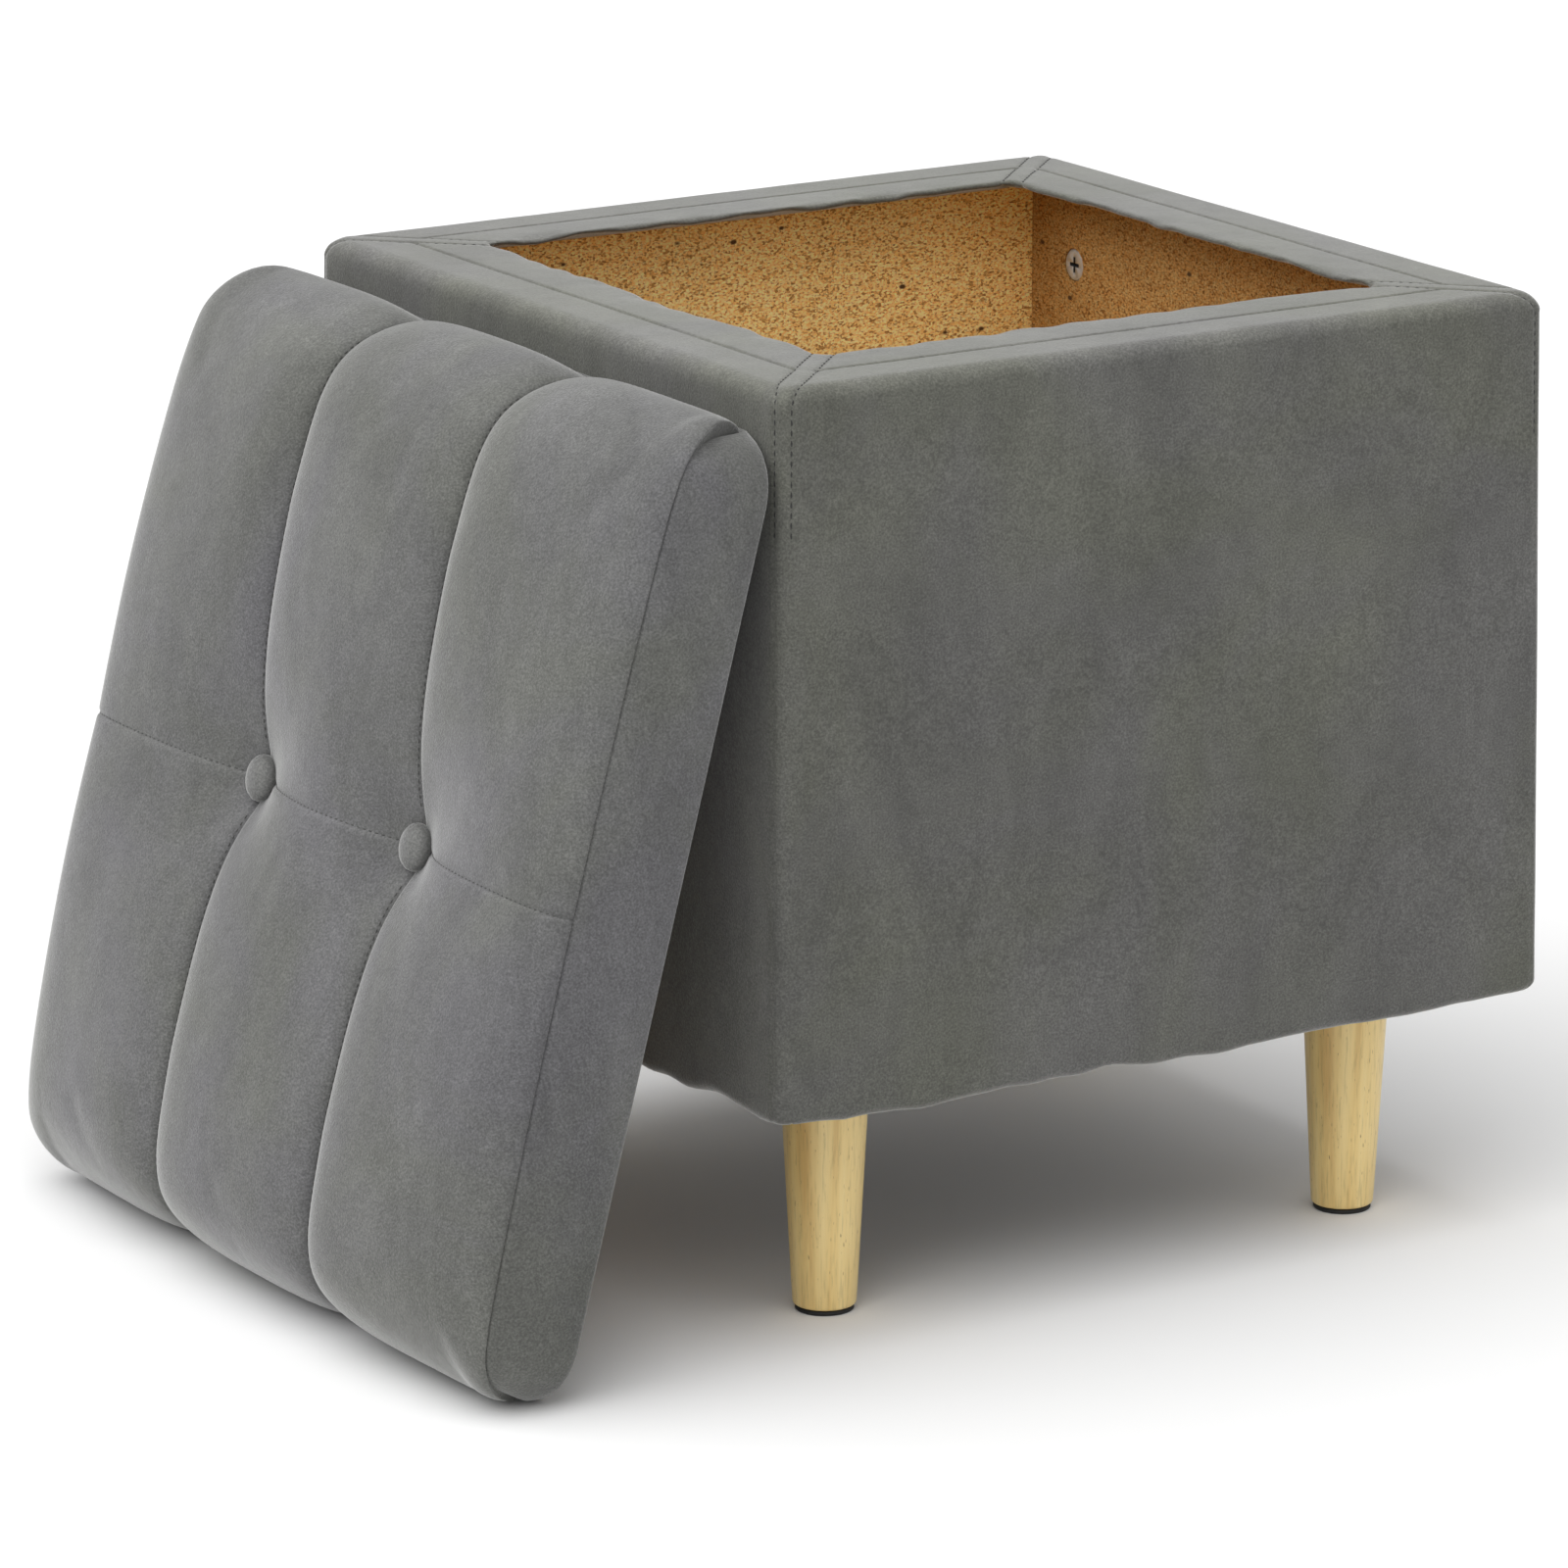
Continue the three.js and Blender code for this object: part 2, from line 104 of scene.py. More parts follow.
ROW_DEPTH = 0.0007  # of the rows at the corners where they are stitched, and below that
ROW_DEPTH_BELOW = 0.0004
HEM_DROP = 0.0035  # how far the cover hangs under the base at its edge
BASE_FLARE = 0.0032  # how far the cover stands out from the panels at the bottom
TOP_SLACK = 0.0006  # below the rim's height, where its bumps start to flatten out
TOP_PROUD = 0.0003  # the most that the rim's bumps stand above its height
SWELLS = ((0.00025, 11, 1), (0.00012, 38, 2))  # layers of noise: height, waves a metre, seed
PLEATS = (0.00022, 230, 3)  # at the corners' stitch rows
PLEAT_REACH = 0.012
EDGE_WAVES = ((0.0034, 24, 4), (0.00204, 55, 5))  # uneven lower edge, up and down
EDGE_REACH = 0.03  # how far up the sides it reaches
MOUTH_WAVES = ((0.0022, 21, 6), (0.00121, 62, 7))  # uneven edge of the mouth, in and out
MOUTH_RIPPLE = (0.0018, 75, 8)  # and up and down
MOUTH_REACH = 0.016
COVER_STITCH = (0.0042, 0.0032, 0.0005)  # pitch, length and radius

# Lid cushion
LEAN = math.radians(14.9)
LEAN_GAP = 0.0008
LID_SHIFT_Y = 0.007
LID_HALF = 0.200
LID_CORNER = 0.026
LID_HEM = 0.028
HEM_LIFT = 0.00115  # the underside over the hem's edge
CHANNEL_Y = 0.0665
CHANNEL_SIDE = 0.0075  # how far the close spacing reaches from a channel
CHANNEL_STEPS = (-0.0036, -0.0013, 0, 0.0013, 0.0036)
CORNER_ANGLES = (12, 24, 36, 47, 57, 66, 74, 81, 85.5, 88.3, 90)  # round each corner
MID_STEPS = (0, 0.0065, 0.018, 0.037)  # up from the mid seam, as shares
CHANNEL_LEVEL = 0.057
CROWN_LIFT = 0.0125  # puffs over their seams, before the filling swells them
SIDE_LIFT = 0.0025  # the outer puffs over the middle ones, at the sides
PUFF_CAP = 0.0026  # the most that the filling may swell the cushion's face, and its sides
SIDE_CAP = 0.0015
CAP_FADE = 0.145  # from the mid seam to where the face's cap begins to shrink
CAP_FADE_WIDTH = 0.045
FILL_PRESSURE = 3
FILL_FRAMES = 20
SIDE_BULGE = 0.0024  # the sides past their seam
FLOOR_SLOPE = 0.255  # how the floor falls away from the foot, in the lid's coordinates
SIDE_SHARES = (0.015, 0.05, 0.09, 0.16, 0.27, 0.39, 0.51, 0.63, 0.75, 0.86, 0.94)
SEAM_LEVEL = 0.0485  # seam along the sides
END_LEVEL = 0.003  # the crown's edge at the ends, over the hem
END_POWER = 15.0  # how square the ends are
END_START = 0.9  # share of the way to an end where it begins to bulge
END_HEIGHT = 0.055
END_TUCK = 0.0015  # how far the channels and corners draw in there
SEAM_SAG = 0.0035  # the side seam lower at the ends than in the middle
CHANNEL_SAG = 0.004  # the channels lower near the ends
INNER_POWER = 3.2  # how square the puffs are across, and at the sides
OUTER_POWER = 5.5
TOP_BULGE = 0.0115  # puffs past the lid's end at its top, and at its foot
FOOT_BULGE = 0.0060
END_DROP = 0.009  # outer puffs lower at their ends than at the middle
SEAM_DEPTH = 0.0019
HEM_LEVEL = 0.012  # below it the crown's edge is the hem, pressed in only by its depth
HEM_DEPTH = 0.0003
MID_ARCH = (0.0052, 0.050)  # depth and reach of the broad hollow at the mid seam
MID_CREASE = (0.0028, 0.014)  # and of the crease in it
BUTTON_LEVEL = 0.0425  # the cushion under the buttons
BUTTON_REACH = (0.029, 0.022)  # how far their dimples spread up the lid, and down it
BUTTON_FLAT = 0.0095
BUTTON_SEWN = 0.0085  # the cushion's face that a button holds down
BUTTON_FOOT = 0.0405
BUTTON_SHAPE = (  # radius, height over the button's foot, in mm
    (2.0, 0),
    (7.8, 0),
    (9.4, 1.2),
    (10.1, 2.8),
    (10.2, 4.2),
    (9.8, 5.6),
    (8.8, 6.8),
    (7.0, 7.8),
    (4.8, 8.5),
    (2.4, 8.9),
    (0.6, 9.0),
)
BUTTON_GAP = 0.0105  # from a button's middle to the nearest stitch
CHANNEL_STITCH = 0.0014  # from the bottom of a channel to its stitches
CHANNEL_SEWN = (0.016, 0.190)  # where they start and stop, from the mid seam
LID_STITCH = (0.0034, 0.0024, 0.0003)  # pitch, length and radius

# Rails, legs and fittings
CORNERS = ("front_left", "front_right", "back_left", "back_right")
RAIL_BEVEL = 0.013
RAIL_EDGE = 0.0004
LEG_TOP_RADIUS = 0.019
LEG_FOOT_RADIUS = 0.0135
LEG_ROUND = 0.0016
LEG_SHOULDER = 0.001
GLIDE_EDGE = 0.0005
CAM_RADIUS = 0.0073
CAM_DEPTH = 0.012
CAM_EDGE = 0.0006
CAM_SLOT = (0.0090, 0.0021, 0.0040)  # length, width and depth of each arm of the cross
LOWER_CAM_TWIST = 0.35  # how far the lower cams' slots are turned

# Finishes: the colours that each material runs between
VELVET_TONES = ((0.124, 0.127, 0.114), (0.127, 0.127, 0.128))
FLAKE_TONES = ((0.38, 0.18, 0.055), (0.95, 0.57, 0.215), (1.0, 0.80, 0.43))
CHIP_TONE = (0.09, 0.045, 0.02)
HARDBOARD_TONES = ((0.10, 0.05, 0.022), (0.19, 0.10, 0.045))
FOAM_TONES = ((0.62, 0.55, 0.40), (0.82, 0.77, 0.62))
WOOD_TONES = ((0.66, 0.40, 0.13), (0.87, 0.64, 0.26), (0.95, 0.76, 0.37))
PORE_TONE = (0.33, 0.19, 0.08)
ZINC_TONES = ((0.56, 0.56, 0.55), (0.70, 0.70, 0.69))
# Near black: the box's stitch thread, partly its own colour and partly painted shade of the stitch
# holes.
STITCH_THREAD_PAINTED_SHADE_TONES = ((0.012, 0.012, 0.011), (0.03, 0.03, 0.028))
GREY_THREAD_TONES = ((0.035, 0.035, 0.033), (0.07, 0.07, 0.066))

# Stage
FLOOR_HALF = 14.0
SKY_STRENGTH = 0.55
KEY_TOWARDS = (-0.50, -0.12, 0.95)
KEY_POWER = 2.4
KEY_SOFTNESS = 75

STITCH_RINGS = (0, 0.2, 0.5, 0.8, 1)  # shares of a stitch's length
STITCH_SIDES = 6
TINY = 1e-9


# ---------------------------------------------------------------- meshes


def mesh_object(name, points, faces, material):
    mesh = bpy.data.meshes.new(name)
    mesh.from_pydata([tuple(p) for p in points], [], faces)
    mesh.materials.append(material)
    mesh.polygons.foreach_set("use_smooth", [True] * len(mesh.polygons))
    mesh.update()
    obj = bpy.data.objects.new(name, mesh)
    bpy.context.scene.collection.objects.link(obj)
    return obj


def grid_faces(rows, columns, wrap_rows=False, wrap_columns=True):
    """Quads of a grid whose points run row by row, facing along (columns x rows)."""
    faces = []
    for i in range(rows if wrap_rows else rows - 1):
        for j in range(columns if wrap_columns else columns - 1):
            a, b = i * columns, (i + 1) % rows * columns
            k = (j + 1) % columns
            faces.append((a + j, a + k, b + k, b + j))
    return faces


def tube_faces(rings, sides):
    """Faces of a closed tube: its rings, and a cap at each end."""
    last = (rings - 1) * sides
    caps = [tuple(reversed(range(sides))), tuple(range(last, last + sides))]
    return grid_faces(rings, sides) + caps


def turned(name, profile, material, sides=64):
    """A piece turned about +Z from (radius, height) points, closed at both ends."""
    angles = np.linspace(0, 2 * math.pi, sides, endpoint=False)
    points = [(r * math.cos(a), r * math.sin(a), z) for r, z in profile for a in angles]
    return mesh_object(name, points, tube_faces(len(profile), sides), material)


def arc(centre, radius, start, end, count):
    """Points of a circle's arc in a profile, with angles in degrees."""
    angles = np.radians(np.linspace(start, end, count))
    return [(centre[0] + radius * math.cos(a), centre[1] + radius * math.sin(a)) for a in angles]


def rumple(points, scale, seed):
    """Soft noise from -1 to 1 at each point, in waves about 1 / scale metres long."""
    shift = Vector((seed * 7.1, seed * 3.7, seed * 5.3))
    values = [noise.noise(Vector(p) * scale + shift) for p in points.reshape(-1, 3)]
    return np.array(values).reshape(points.shape[:-1])


def waves(points, *layers):
    """Layers of noise, each given by its height, waves per metre and seed, added up."""
    return sum(height * rumple(points, scale, seed) for height, scale, seed in layers)


def bell(value, width):
    """1 where value is 0, falling off smoothly on both sides over width."""
    return np.exp(-((value / width) ** 2))


def at_place(run, values, place):
    """The value at a place along a line, where run says how far along it each value lies."""
    return np.array([np.interp(place, run, values[:, k]) for k in range(3)])


def stitch_points(start, end, up, radius):
    """Rings of points: a stitch that is thickest in the middle, with its ends sunk."""
    along = (end - start) / max(np.linalg.norm(end - start), TINY)
    side = np.cross(up, along)
    side /= max(np.linalg.norm(side), TINY)
    normal = np.cross(along, side)
    points = []
    for share in STITCH_RINGS:
        arch = share * (1 - share)
        sink = radius * (0.9 - 4.4 * arch)
        thick = radius * (0.35 + 2.6 * arch)
        for a in np.radians(np.arange(0, 360, 360 // STITCH_SIDES)):
            spoke = side * math.cos(a) + normal * math.sin(a)
            points.append(start + (end - start) * share - normal * sink + spoke * thick)
    return points


def stitches(name, lines, size, material):
    """Stitches laid along lines of (point, normal) pairs; size is pitch, length and radius."""
    pitch, length, radius = size
    shape = tube_faces(len(STITCH_RINGS), STITCH_SIDES)
    points, faces = [], []
    for line in lines:
        at = np.array([p for p, _ in line])
        up = np.array([n for _, n in line])
        run = np.concatenate([[0], np.cumsum(np.linalg.norm(np.diff(at, axis=0), axis=1))])
        for middle in np.arange(pitch / 2, run[-1], pitch):
            start = at_place(run, at, middle - length / 2)
            end = at_place(run, at, middle + length / 2)
            faces += [tuple(len(points) + k for k in f) for f in shape]
            points += stitch_points(start, end, at_place(run, up, middle), radius)
    return mesh_object(name, points, faces, material)


# ---------------------------------------------------------------- materials


def new_material(name):
    material = bpy.data.materials.new(name)
    material.use_nodes = True
    tree = material.node_tree
    return material, tree, tree.nodes["Principled BSDF"]


def node(tree, kind, inputs=None, **settings):
    """Adds a node; an input is a value, or a socket to link."""
    made = tree.nodes.new("ShaderNode" + kind)
    for key, value in settings.items():
        setattr(made, key, value)
    for key, value in (inputs or {}).items():
        if isinstance(value, bpy.types.NodeSocket):
            tree.links.new(value, made.inputs[key])
        else:
            made.inputs[key].default_value = value
    return made


def coordinates(tree, stretch=(1, 1, 1), turn=(0, 0, 0)):
    """The piece's own coordinates, stretched and turned."""
    source = node(tree, "TexCoord").outputs["Object"]
    placed = node(tree, "Mapping", {"Vector": source, "Scale": stretch, "Rotation": turn})
    return placed.outputs["Vector"]


def clouds(tree, vector, scale, detail=3.0, roughness=0.5, distortion=0.0):
    """Noise from 0 to 1, in waves about 1 / scale metres long."""
    inputs = {
        "Vector": vector,
        "Scale": scale,
        "Detail": detail,
        "Roughness": roughness,
        "Distortion": distortion,
    }
    return node(tree, "TexNoise", inputs).outputs["Fac"]


def ramp(tree, value, places, colours):
    """Colours at places from 0 to 1, and their mixtures between."""
    made = node(tree, "ValToRGB", {"Fac": value})
    elements = made.color_ramp.elements
    while len(elements) < len(places):
        elements.new(0.5)
    for element, place, colour in zip(elements, places, colours):
        element.position = place
        element.color = (*colour, 1)
    return made.outputs["Color"]


def levels(tree, value, places, greys):
    """A ramp of greys; a grey over 1 brightens the colour it is multiplied with."""
    return ramp(tree, value, places, [(grey, grey, grey) for grey in greys])


def mixed(tree, factor, first, second, blend="MIX"):
    """Mixes two colours, by the Mix node's sockets 0, 6 and 7."""
    made = tree.nodes.new("ShaderNodeMix")
    made.data_type = "RGBA"
    made.blend_type = blend
    for index, value in ((0, factor), (6, first), (7, second)):
        if isinstance(value, bpy.types.NodeSocket):
            tree.links.new(value, made.inputs[index])
        else:
            made.inputs[index].default_value = value if index == 0 else (*value, 1)
    return made.outputs[2]


def layered(tree, colour, *layers):
    """Multiplies a colour by each layer in turn."""
    for layer in layers:
        colour = mixed(tree, 1.0, colour, layer, "MULTIPLY")
    return colour


def bump(tree, height, distance, strength=1.0, normal=None):
    inputs = {"Height": height, "Distance": distance, "Strength": strength}
    if normal is not None:
        inputs["Normal"] = normal
    return node(tree, "Bump", inputs).outputs["Normal"]


def set_shader(tree, shader, **values):
    """Sets or links the shader's inputs; an underscore stands for a space in a name."""
    for key, value in values.items():
        socket = shader.inputs[key.replace("_", " ")]
        if isinstance(value, bpy.types.NodeSocket):
            tree.links.new(value, socket)
        else:
            socket.default_value = value


def velvet(name, turn, shade, painted_top_light_gain, sheen):
    """Short-pile velvet: cloudy pile in olive and blue greys, fine sparkle, pale at its edges.
    Faces that lie level are lighter by the given gain, painted light from above; the shade
    argument tints each copy and makes it lighter or darker, painted light and shade; sheen is its
    weight and roughness."""
    material, tree, shader = new_material(name)
    space = coordinates(tree, turn=turn)
    brushed = coordinates(tree, (1.0, 1.0, 0.45), turn)
    tone = ramp(tree, clouds(tree, space, 7, 4, 0.6, 0.6), (0.40, 0.62), VELVET_TONES)
    patches = levels(tree, clouds(tree, brushed, 19, 8, 0.68, 0.6), (0.30, 0.72), (0.80, 1.16))
    small = levels(tree, clouds(tree, space, 130, 6, 0.7), (0.3, 0.7), (0.91, 1.09))
    facing = node(tree, "TexCoord").outputs["Normal"]
    upward = node(tree, "SeparateXYZ", {"Vector": facing}).outputs["Z"]
    # Painted light: the more a face points up, the lighter its colour, as if lit from above.
    painted_top_light = levels(tree, upward, (0.35, 0.95), (1.0, painted_top_light_gain))
    pile = clouds(tree, space, 1000, 2, 0.65)
    glints = levels(tree, pile, (0.34, 0.50, 0.70), (0.78, 1.0, 1.35))
    relief = bump(tree, clouds(tree, space, 60, 3, 0.5), 0.0006, 0.5)
    set_shader(
        tree,
        shader,
        Base_Color=layered(tree, tone, shade, patches, small, painted_top_light, glints),
        Roughness=0.9,
        Specular_IOR_Level=0.12,
        Sheen_Weight=sheen[0],
        Sheen_Roughness=sheen[1],
        Sheen_Tint=(0.95, 0.95, 0.94, 1),
        Normal=bump(tree, pile, 0.00035, 0.7, relief),
    )
    return material


def chipboard(name, stretch, tone):
    """Flat golden flakes that lie along the panel, with dark dust and chips. Tone sets the panel's
    tint and paints light and shade: a lighter copy for lit walls, a darker one for shaded walls.
    """
    material, tree, shader = new_material(name)
    space = coordinates(tree, stretch)
    flakes = node(tree, "TexVoronoi", {"Vector": space, "Scale": 1150.0, "Randomness": 1.0})
    shade = node(tree, "SeparateColor", {"Color": flakes.outputs["Color"]}).outputs["Red"]
    colour = ramp(tree, shade, (0.0, 0.30, 1.0), FLAKE_TONES)
    cloudy = levels(tree, clouds(tree, space, 28, 4, 0.6), (0.3, 0.7), (0.92, 1.06))
    dust = clouds(tree, space, 1100, 3, 0.7)
    grains = levels(tree, dust, (0.33, 0.47, 0.63), (0.38, 1.0, 1.40))
    # Tone multiplies in this copy's tint and its painted light and shade.
    colour = layered(tree, colour, tone, cloudy, grains)
    chips = node(tree, "TexVoronoi", {"Vector": space, "Scale": 75.0, "Randomness": 1.0})
    speck = levels(tree, chips.outputs["Distance"], (0.06, 0.10), (1.0, 0.0))
    set_shader(
        tree,
        shader,
        Base_Color=mixed(tree, speck, colour, CHIP_TONE),
        Roughness=0.72,
        Specular_IOR_Level=0.3,
        Normal=bump(tree, dust, 0.0003, 0.6),
    )
    return material


def hardboard():
    """Dark brown pressed fibres."""
    material, tree, shader = new_material("hardboard")
    fibres = clouds(tree, coordinates(tree), 700, 4, 0.7)
    colour = ramp(tree, fibres, (0.3, 0.7), HARDBOARD_TONES)
    relief = bump(tree, fibres, 0.0002, 0.6)
    set_shader(tree, shader, Base_Color=colour, Roughness=0.65, Normal=relief)
    return material


def foam():
    """Cream foam with fine open cells."""
    material, tree, shader = new_material("foam")
    cells = node(tree, "TexVoronoi", {"Vector": coordinates(tree), "Scale": 1100.0})
    depth = cells.outputs["Distance"]
    colour = ramp(tree, depth, (0.0, 0.7), FOAM_TONES)
    relief = bump(tree, depth, 0.0004, 0.8)
    set_shader(tree, shader, Base_Color=colour, Roughness=0.95, Normal=relief)
    return material


def rubberwood():
    """Pale lacquered wood with its grain upright."""
    material, tree, shader = new_material("rubberwood")
    space = coordinates(tree, (1.0, 1.0, 0.045))
    colour = ramp(tree, clouds(tree, space, 70, 4, 0.6, 0.6), (0.28, 0.48, 0.75), WOOD_TONES)
    fine = clouds(tree, space, 900, 3, 0.6)
    lines = levels(tree, fine, (0.30, 0.46, 0.8), (0.80, 1.0, 1.05))
    pores = clouds(tree, coordinates(tree, (1.0, 1.0, 0.12)), 1500, 1, 0.5)
    flecks = levels(tree, pores, (0.23, 0.29), (1.0, 0.0))
    set_shader(
        tree,
        shader,
        Base_Color=mixed(tree, flecks, layered(tree, colour, lines), PORE_TONE),
        Roughness=0.42,
        Specular_IOR_Level=0.45,
        Coat_Weight=0.15,
        Coat_Roughness=0.3,
        Normal=bump(tree, fine, 0.00012, 0.5),
    )
    return material


def lining():
    """Thin black non-woven cloth, pressed with small dots."""
    material, tree, shader = new_material("lining")
    space = coordinates(tree)
    dots = node(tree, "TexVoronoi", {"Vector": space, "Scale": 520.0, "Randomness": 0.15})
    pressed = levels(tree, dots.outputs["Distance"], (0.25, 0.45), (0.0, 1.0))
    fibres = clouds(tree, space, 1500, 3, 0.7)
    colour = levels(tree, fibres, (0.3, 0.7), (0.006, 0.022))
    colour = mixed(tree, 0.5, colour, pressed, "MULTIPLY")
    relief = bump(tree, pressed, 0.0002, 0.7)
    relief = bump(tree, fibres, 0.0001, 0.6, relief)
    set_shader(tree, shader, Base_Color=colour, Roughness=0.85, Normal=relief)
    return material


def rubber():
    """Matt black rubber."""
    material, tree, shader = new_material("rubber")
    fine = clouds(tree, coordinates(tree), 1200, 3, 0.6)
    colour = levels(tree, fine, (0.3, 0.7), (0.008, 0.018))
    relief = bump(tree, fine, 0.0002, 0.5)
    set_shader(tree, shader, Base_Color=colour, Roughness=0.7, Normal=relief)
    return material


def zinc():
    """Dull zinc plating, lightly mottled."""
    material, tree, shader = new_material("zinc")
    space = coordinates(tree)
    bloom = clouds(tree, space, 260, 4, 0.6)
    colour = ramp(tree, bloom, (0.3, 0.7), ZINC_TONES)
    rough = levels(tree, bloom, (0.3, 0.7), (0.40, 0.55))
    relief = bump(tree, clouds(tree, space, 2200, 2, 0.5), 0.00008, 0.4)
    set_shader(tree, shader, Base_Color=colour, Metallic=0.35, Roughness=rough, Normal=relief)
    return material


def thread(name, tones):
    """Twisted sewing thread."""
    material, tree, shader = new_material(name)
    twist = clouds(tree, coordinates(tree), 1800, 2, 0.6)
    colour = ramp(tree, twist, (0.35, 0.65), tones)
    set_shader(tree, shader, Base_Color=colour, Roughness=0.8, Sheen_Weight=0.2)
    return material


# ---------------------------------------------------------------- box cover


def cover_profile(half, base_z, top_z):
    """(half width, height) of the cover's rings, from the hem under the base to the one in
    the mouth."""
    mouth = half - RIM_WIDTH
    low_z = base_z - HEM_DROP
    under = np.linspace(0, 1, 6)[:-1]
    rows = [(half - BASE_HEM + (BASE_HEM - BASE_ROUND) * t, base_z - HEM_DROP * t) for t in under]
    rows += arc((half - BASE_ROUND, low_z + BASE_ROUND), BASE_ROUND, -90, 0, 7)
    rows += [(half, z) for z in np.linspace(low_z + BASE_ROUND, top_z - TOP_ROUND, 62)[1:-1]]
    rows += arc((half - TOP_ROUND, top_z - TOP_ROUND), TOP_ROUND, 0, 90, 12)
    seam = half - RIM_SEAM
    rim = np.linspace(half - TOP_ROUND, mouth + 0.003, 28)[1:]
    beside = CREASE * np.arange(-2, 3)
    rim = np.concatenate([rim[np.abs(rim - seam) > 0.0022], seam + beside])
    rows += [(h, top_z) for h in sorted(rim, reverse=True)]
    rows += [(mouth + a / 1000, top_z - d / 1000) for a, d in LIP]
    return rows


def corner_offsets(half, radius, spread):
    """Distances along a ring from a corner's middle to the middle of a side."""
    near = np.array(CORNER_STEPS) / 1000 * spread
    reach = radius * math.pi / 4 + half - radius
    return np.concatenate([near, np.linspace(near[-1], reach, 31)[1:]])


def ring_point(half, radius, offset):
    """A point of a rounded square, by its signed distance from one corner's middle."""
    centre = half - radius
    bend = radius * math.pi / 4
    past = abs(offset) - bend
    if past <= 0:
        angle = math.pi / 4 + offset / radius
        return centre + radius * math.cos(angle), centre + radius * math.sin(angle)
    return (centre - past, half) if offset > 0 else (half, centre - past)


def cover_ring(half, radius, spread):
    """A whole ring: its points, and each one's signed distance from the nearest corner."""
    positive = corner_offsets(half, radius, spread)
    offsets = np.concatenate([-positive[:0:-1], positive[:-1]])
    points, signed = [], []
    for quarter in range(4):
        turn = Matrix.Rotation(quarter * math.pi / 2, 2)
        for offset in offsets:
            points.append(turn @ Vector(ring_point(half, radius, offset)))
            signed.append(offset)
    return points, signed


def grid_normals(grid):
    """Normals of a grid of points whose columns close round, shape (rows, columns, 3)."""
    across = np.roll(grid, -1, axis=1) - np.roll(grid, 1, axis=1)
    up = np.gradient(grid, axis=0)
    normals = np.cross(across, up)
    return normals / np.maximum(np.linalg.norm(normals, axis=2, keepdims=True), 1e-12)


def cover_rings(profile, half, base_z, top_z):
    """The cover's plain shape, ring by ring, with each point's distance from the middle of
    its corner."""
    mouth = half - RIM_WIDTH
    rows, offsets = [], []
    for h, z in profile:
        inner = min(max((h - mouth) / RIM_WIDTH, 0), 1)
        radius = MOUTH_ROUND + (CORNER_ROUND - MOUTH_ROUND) * inner
        on_top = min(max((half - h) / TOP_ROUND, 0), 1) if z > base_z + 0.1 else 0
        spread = 1 + (math.sqrt(2) - 1) * on_top
        ring, signed = cover_ring(h, radius, spread)
        rows.append([(x, y, z) for x, y in ring])
        offsets.append(np.array(signed) / spread)
    grid = np.array(rows)
    down = np.clip((top_z - grid[..., 2:]) / (top_z - base_z), 0, 1)
    grid[..., :2] *= 1 + BASE_FLARE / half * down
    return grid, np.array(offsets)


def cover_lift(grid, offset, h, z, half, top_z):
    """How far each point stands off the plain shape: soft swells, the rim's seam and its
    padding, the corners' stitch rows, and small pleats between them."""
    mouth = half - RIM_WIDTH
    seam = half - RIM_SEAM
    on_rim = (z > top_z - 0.001) * (h > mouth + 0.001)
    on_upper = z > top_z - TOP_ROUND
    in_strip = np.abs(offset) < STITCH_ROW
    lift = waves(grid, *SWELLS)
    lift -= RIM_SEAM_DEPTH * bell(h - seam, CREASE) * on_rim * ~in_strip
    swell = np.clip((h - mouth) / (seam - mouth), 0, 1)
    lift += RIM_PADDING * np.sin(math.pi * swell) * on_rim
    row_depth = np.where(z > top_z - STITCH_DROP, ROW_DEPTH, ROW_DEPTH_BELOW)
    lift -= row_depth * bell(np.abs(offset) - STITCH_ROW, CREASE)
    lift += STRIP_PADDING * np.clip(1 - (offset / STITCH_ROW) ** 2, 0, 1) * (on_upper + 0.25)
    lift += waves(grid * (1, 1, 0.6), PLEATS) * bell(offset, PLEAT_REACH) * on_upper
    return lift


def ripple_edges(grid, h, z, half, base_z, top_z):
    """Makes the lower edge and the mouth uneven, and keeps the rim's bumps near its height."""
    plan = grid * (1, 1, 0)
    low = np.clip(1 - (grid[..., 2] - base_z) / EDGE_REACH, 0, 1) ** 2
    grid[..., 2] += waves(plan, *EDGE_WAVES) * low
    beside = h - (half - RIM_WIDTH)
    near_mouth = np.clip(1 - beside / MOUTH_REACH, 0, 1) ** 1.5 * (z > top_z - 0.03)
    outward = grid[..., :2] / np.maximum(np.abs(grid[..., :2]).max(axis=2, keepdims=True), TINY)
    grid[..., :2] += outward * (waves(plan, *MOUTH_WAVES) * near_mouth)[..., None]
    grid[..., 2] += waves(grid * (1, 1, 0), MOUTH_RIPPLE) * near_mouth
    over = np.maximum(grid[..., 2] - top_z + TOP_SLACK, 0)
    limit = TOP_SLACK + TOP_PROUD
    grid[..., 2] += limit * np.tanh(over / limit) - over


def cover_grid(half, base_z, top_z):
    """The cover's outer face as a grid of points, with their distances from the corners."""
    profile = cover_profile(half, base_z, top_z)
    grid, offset = cover_rings(profile, half, base_z, top_z)
    h = np.array([p[0] for p in profile])[:, None]
    z = np.array([p[1] for p in profile])[:, None]
    lift = cover_lift(grid, offset, h, z, half, top_z)
    grid = grid + grid_normals(grid) * lift[..., None]
    ripple_edges(grid, h, z, half, base_z, top_z)
    return grid, offset


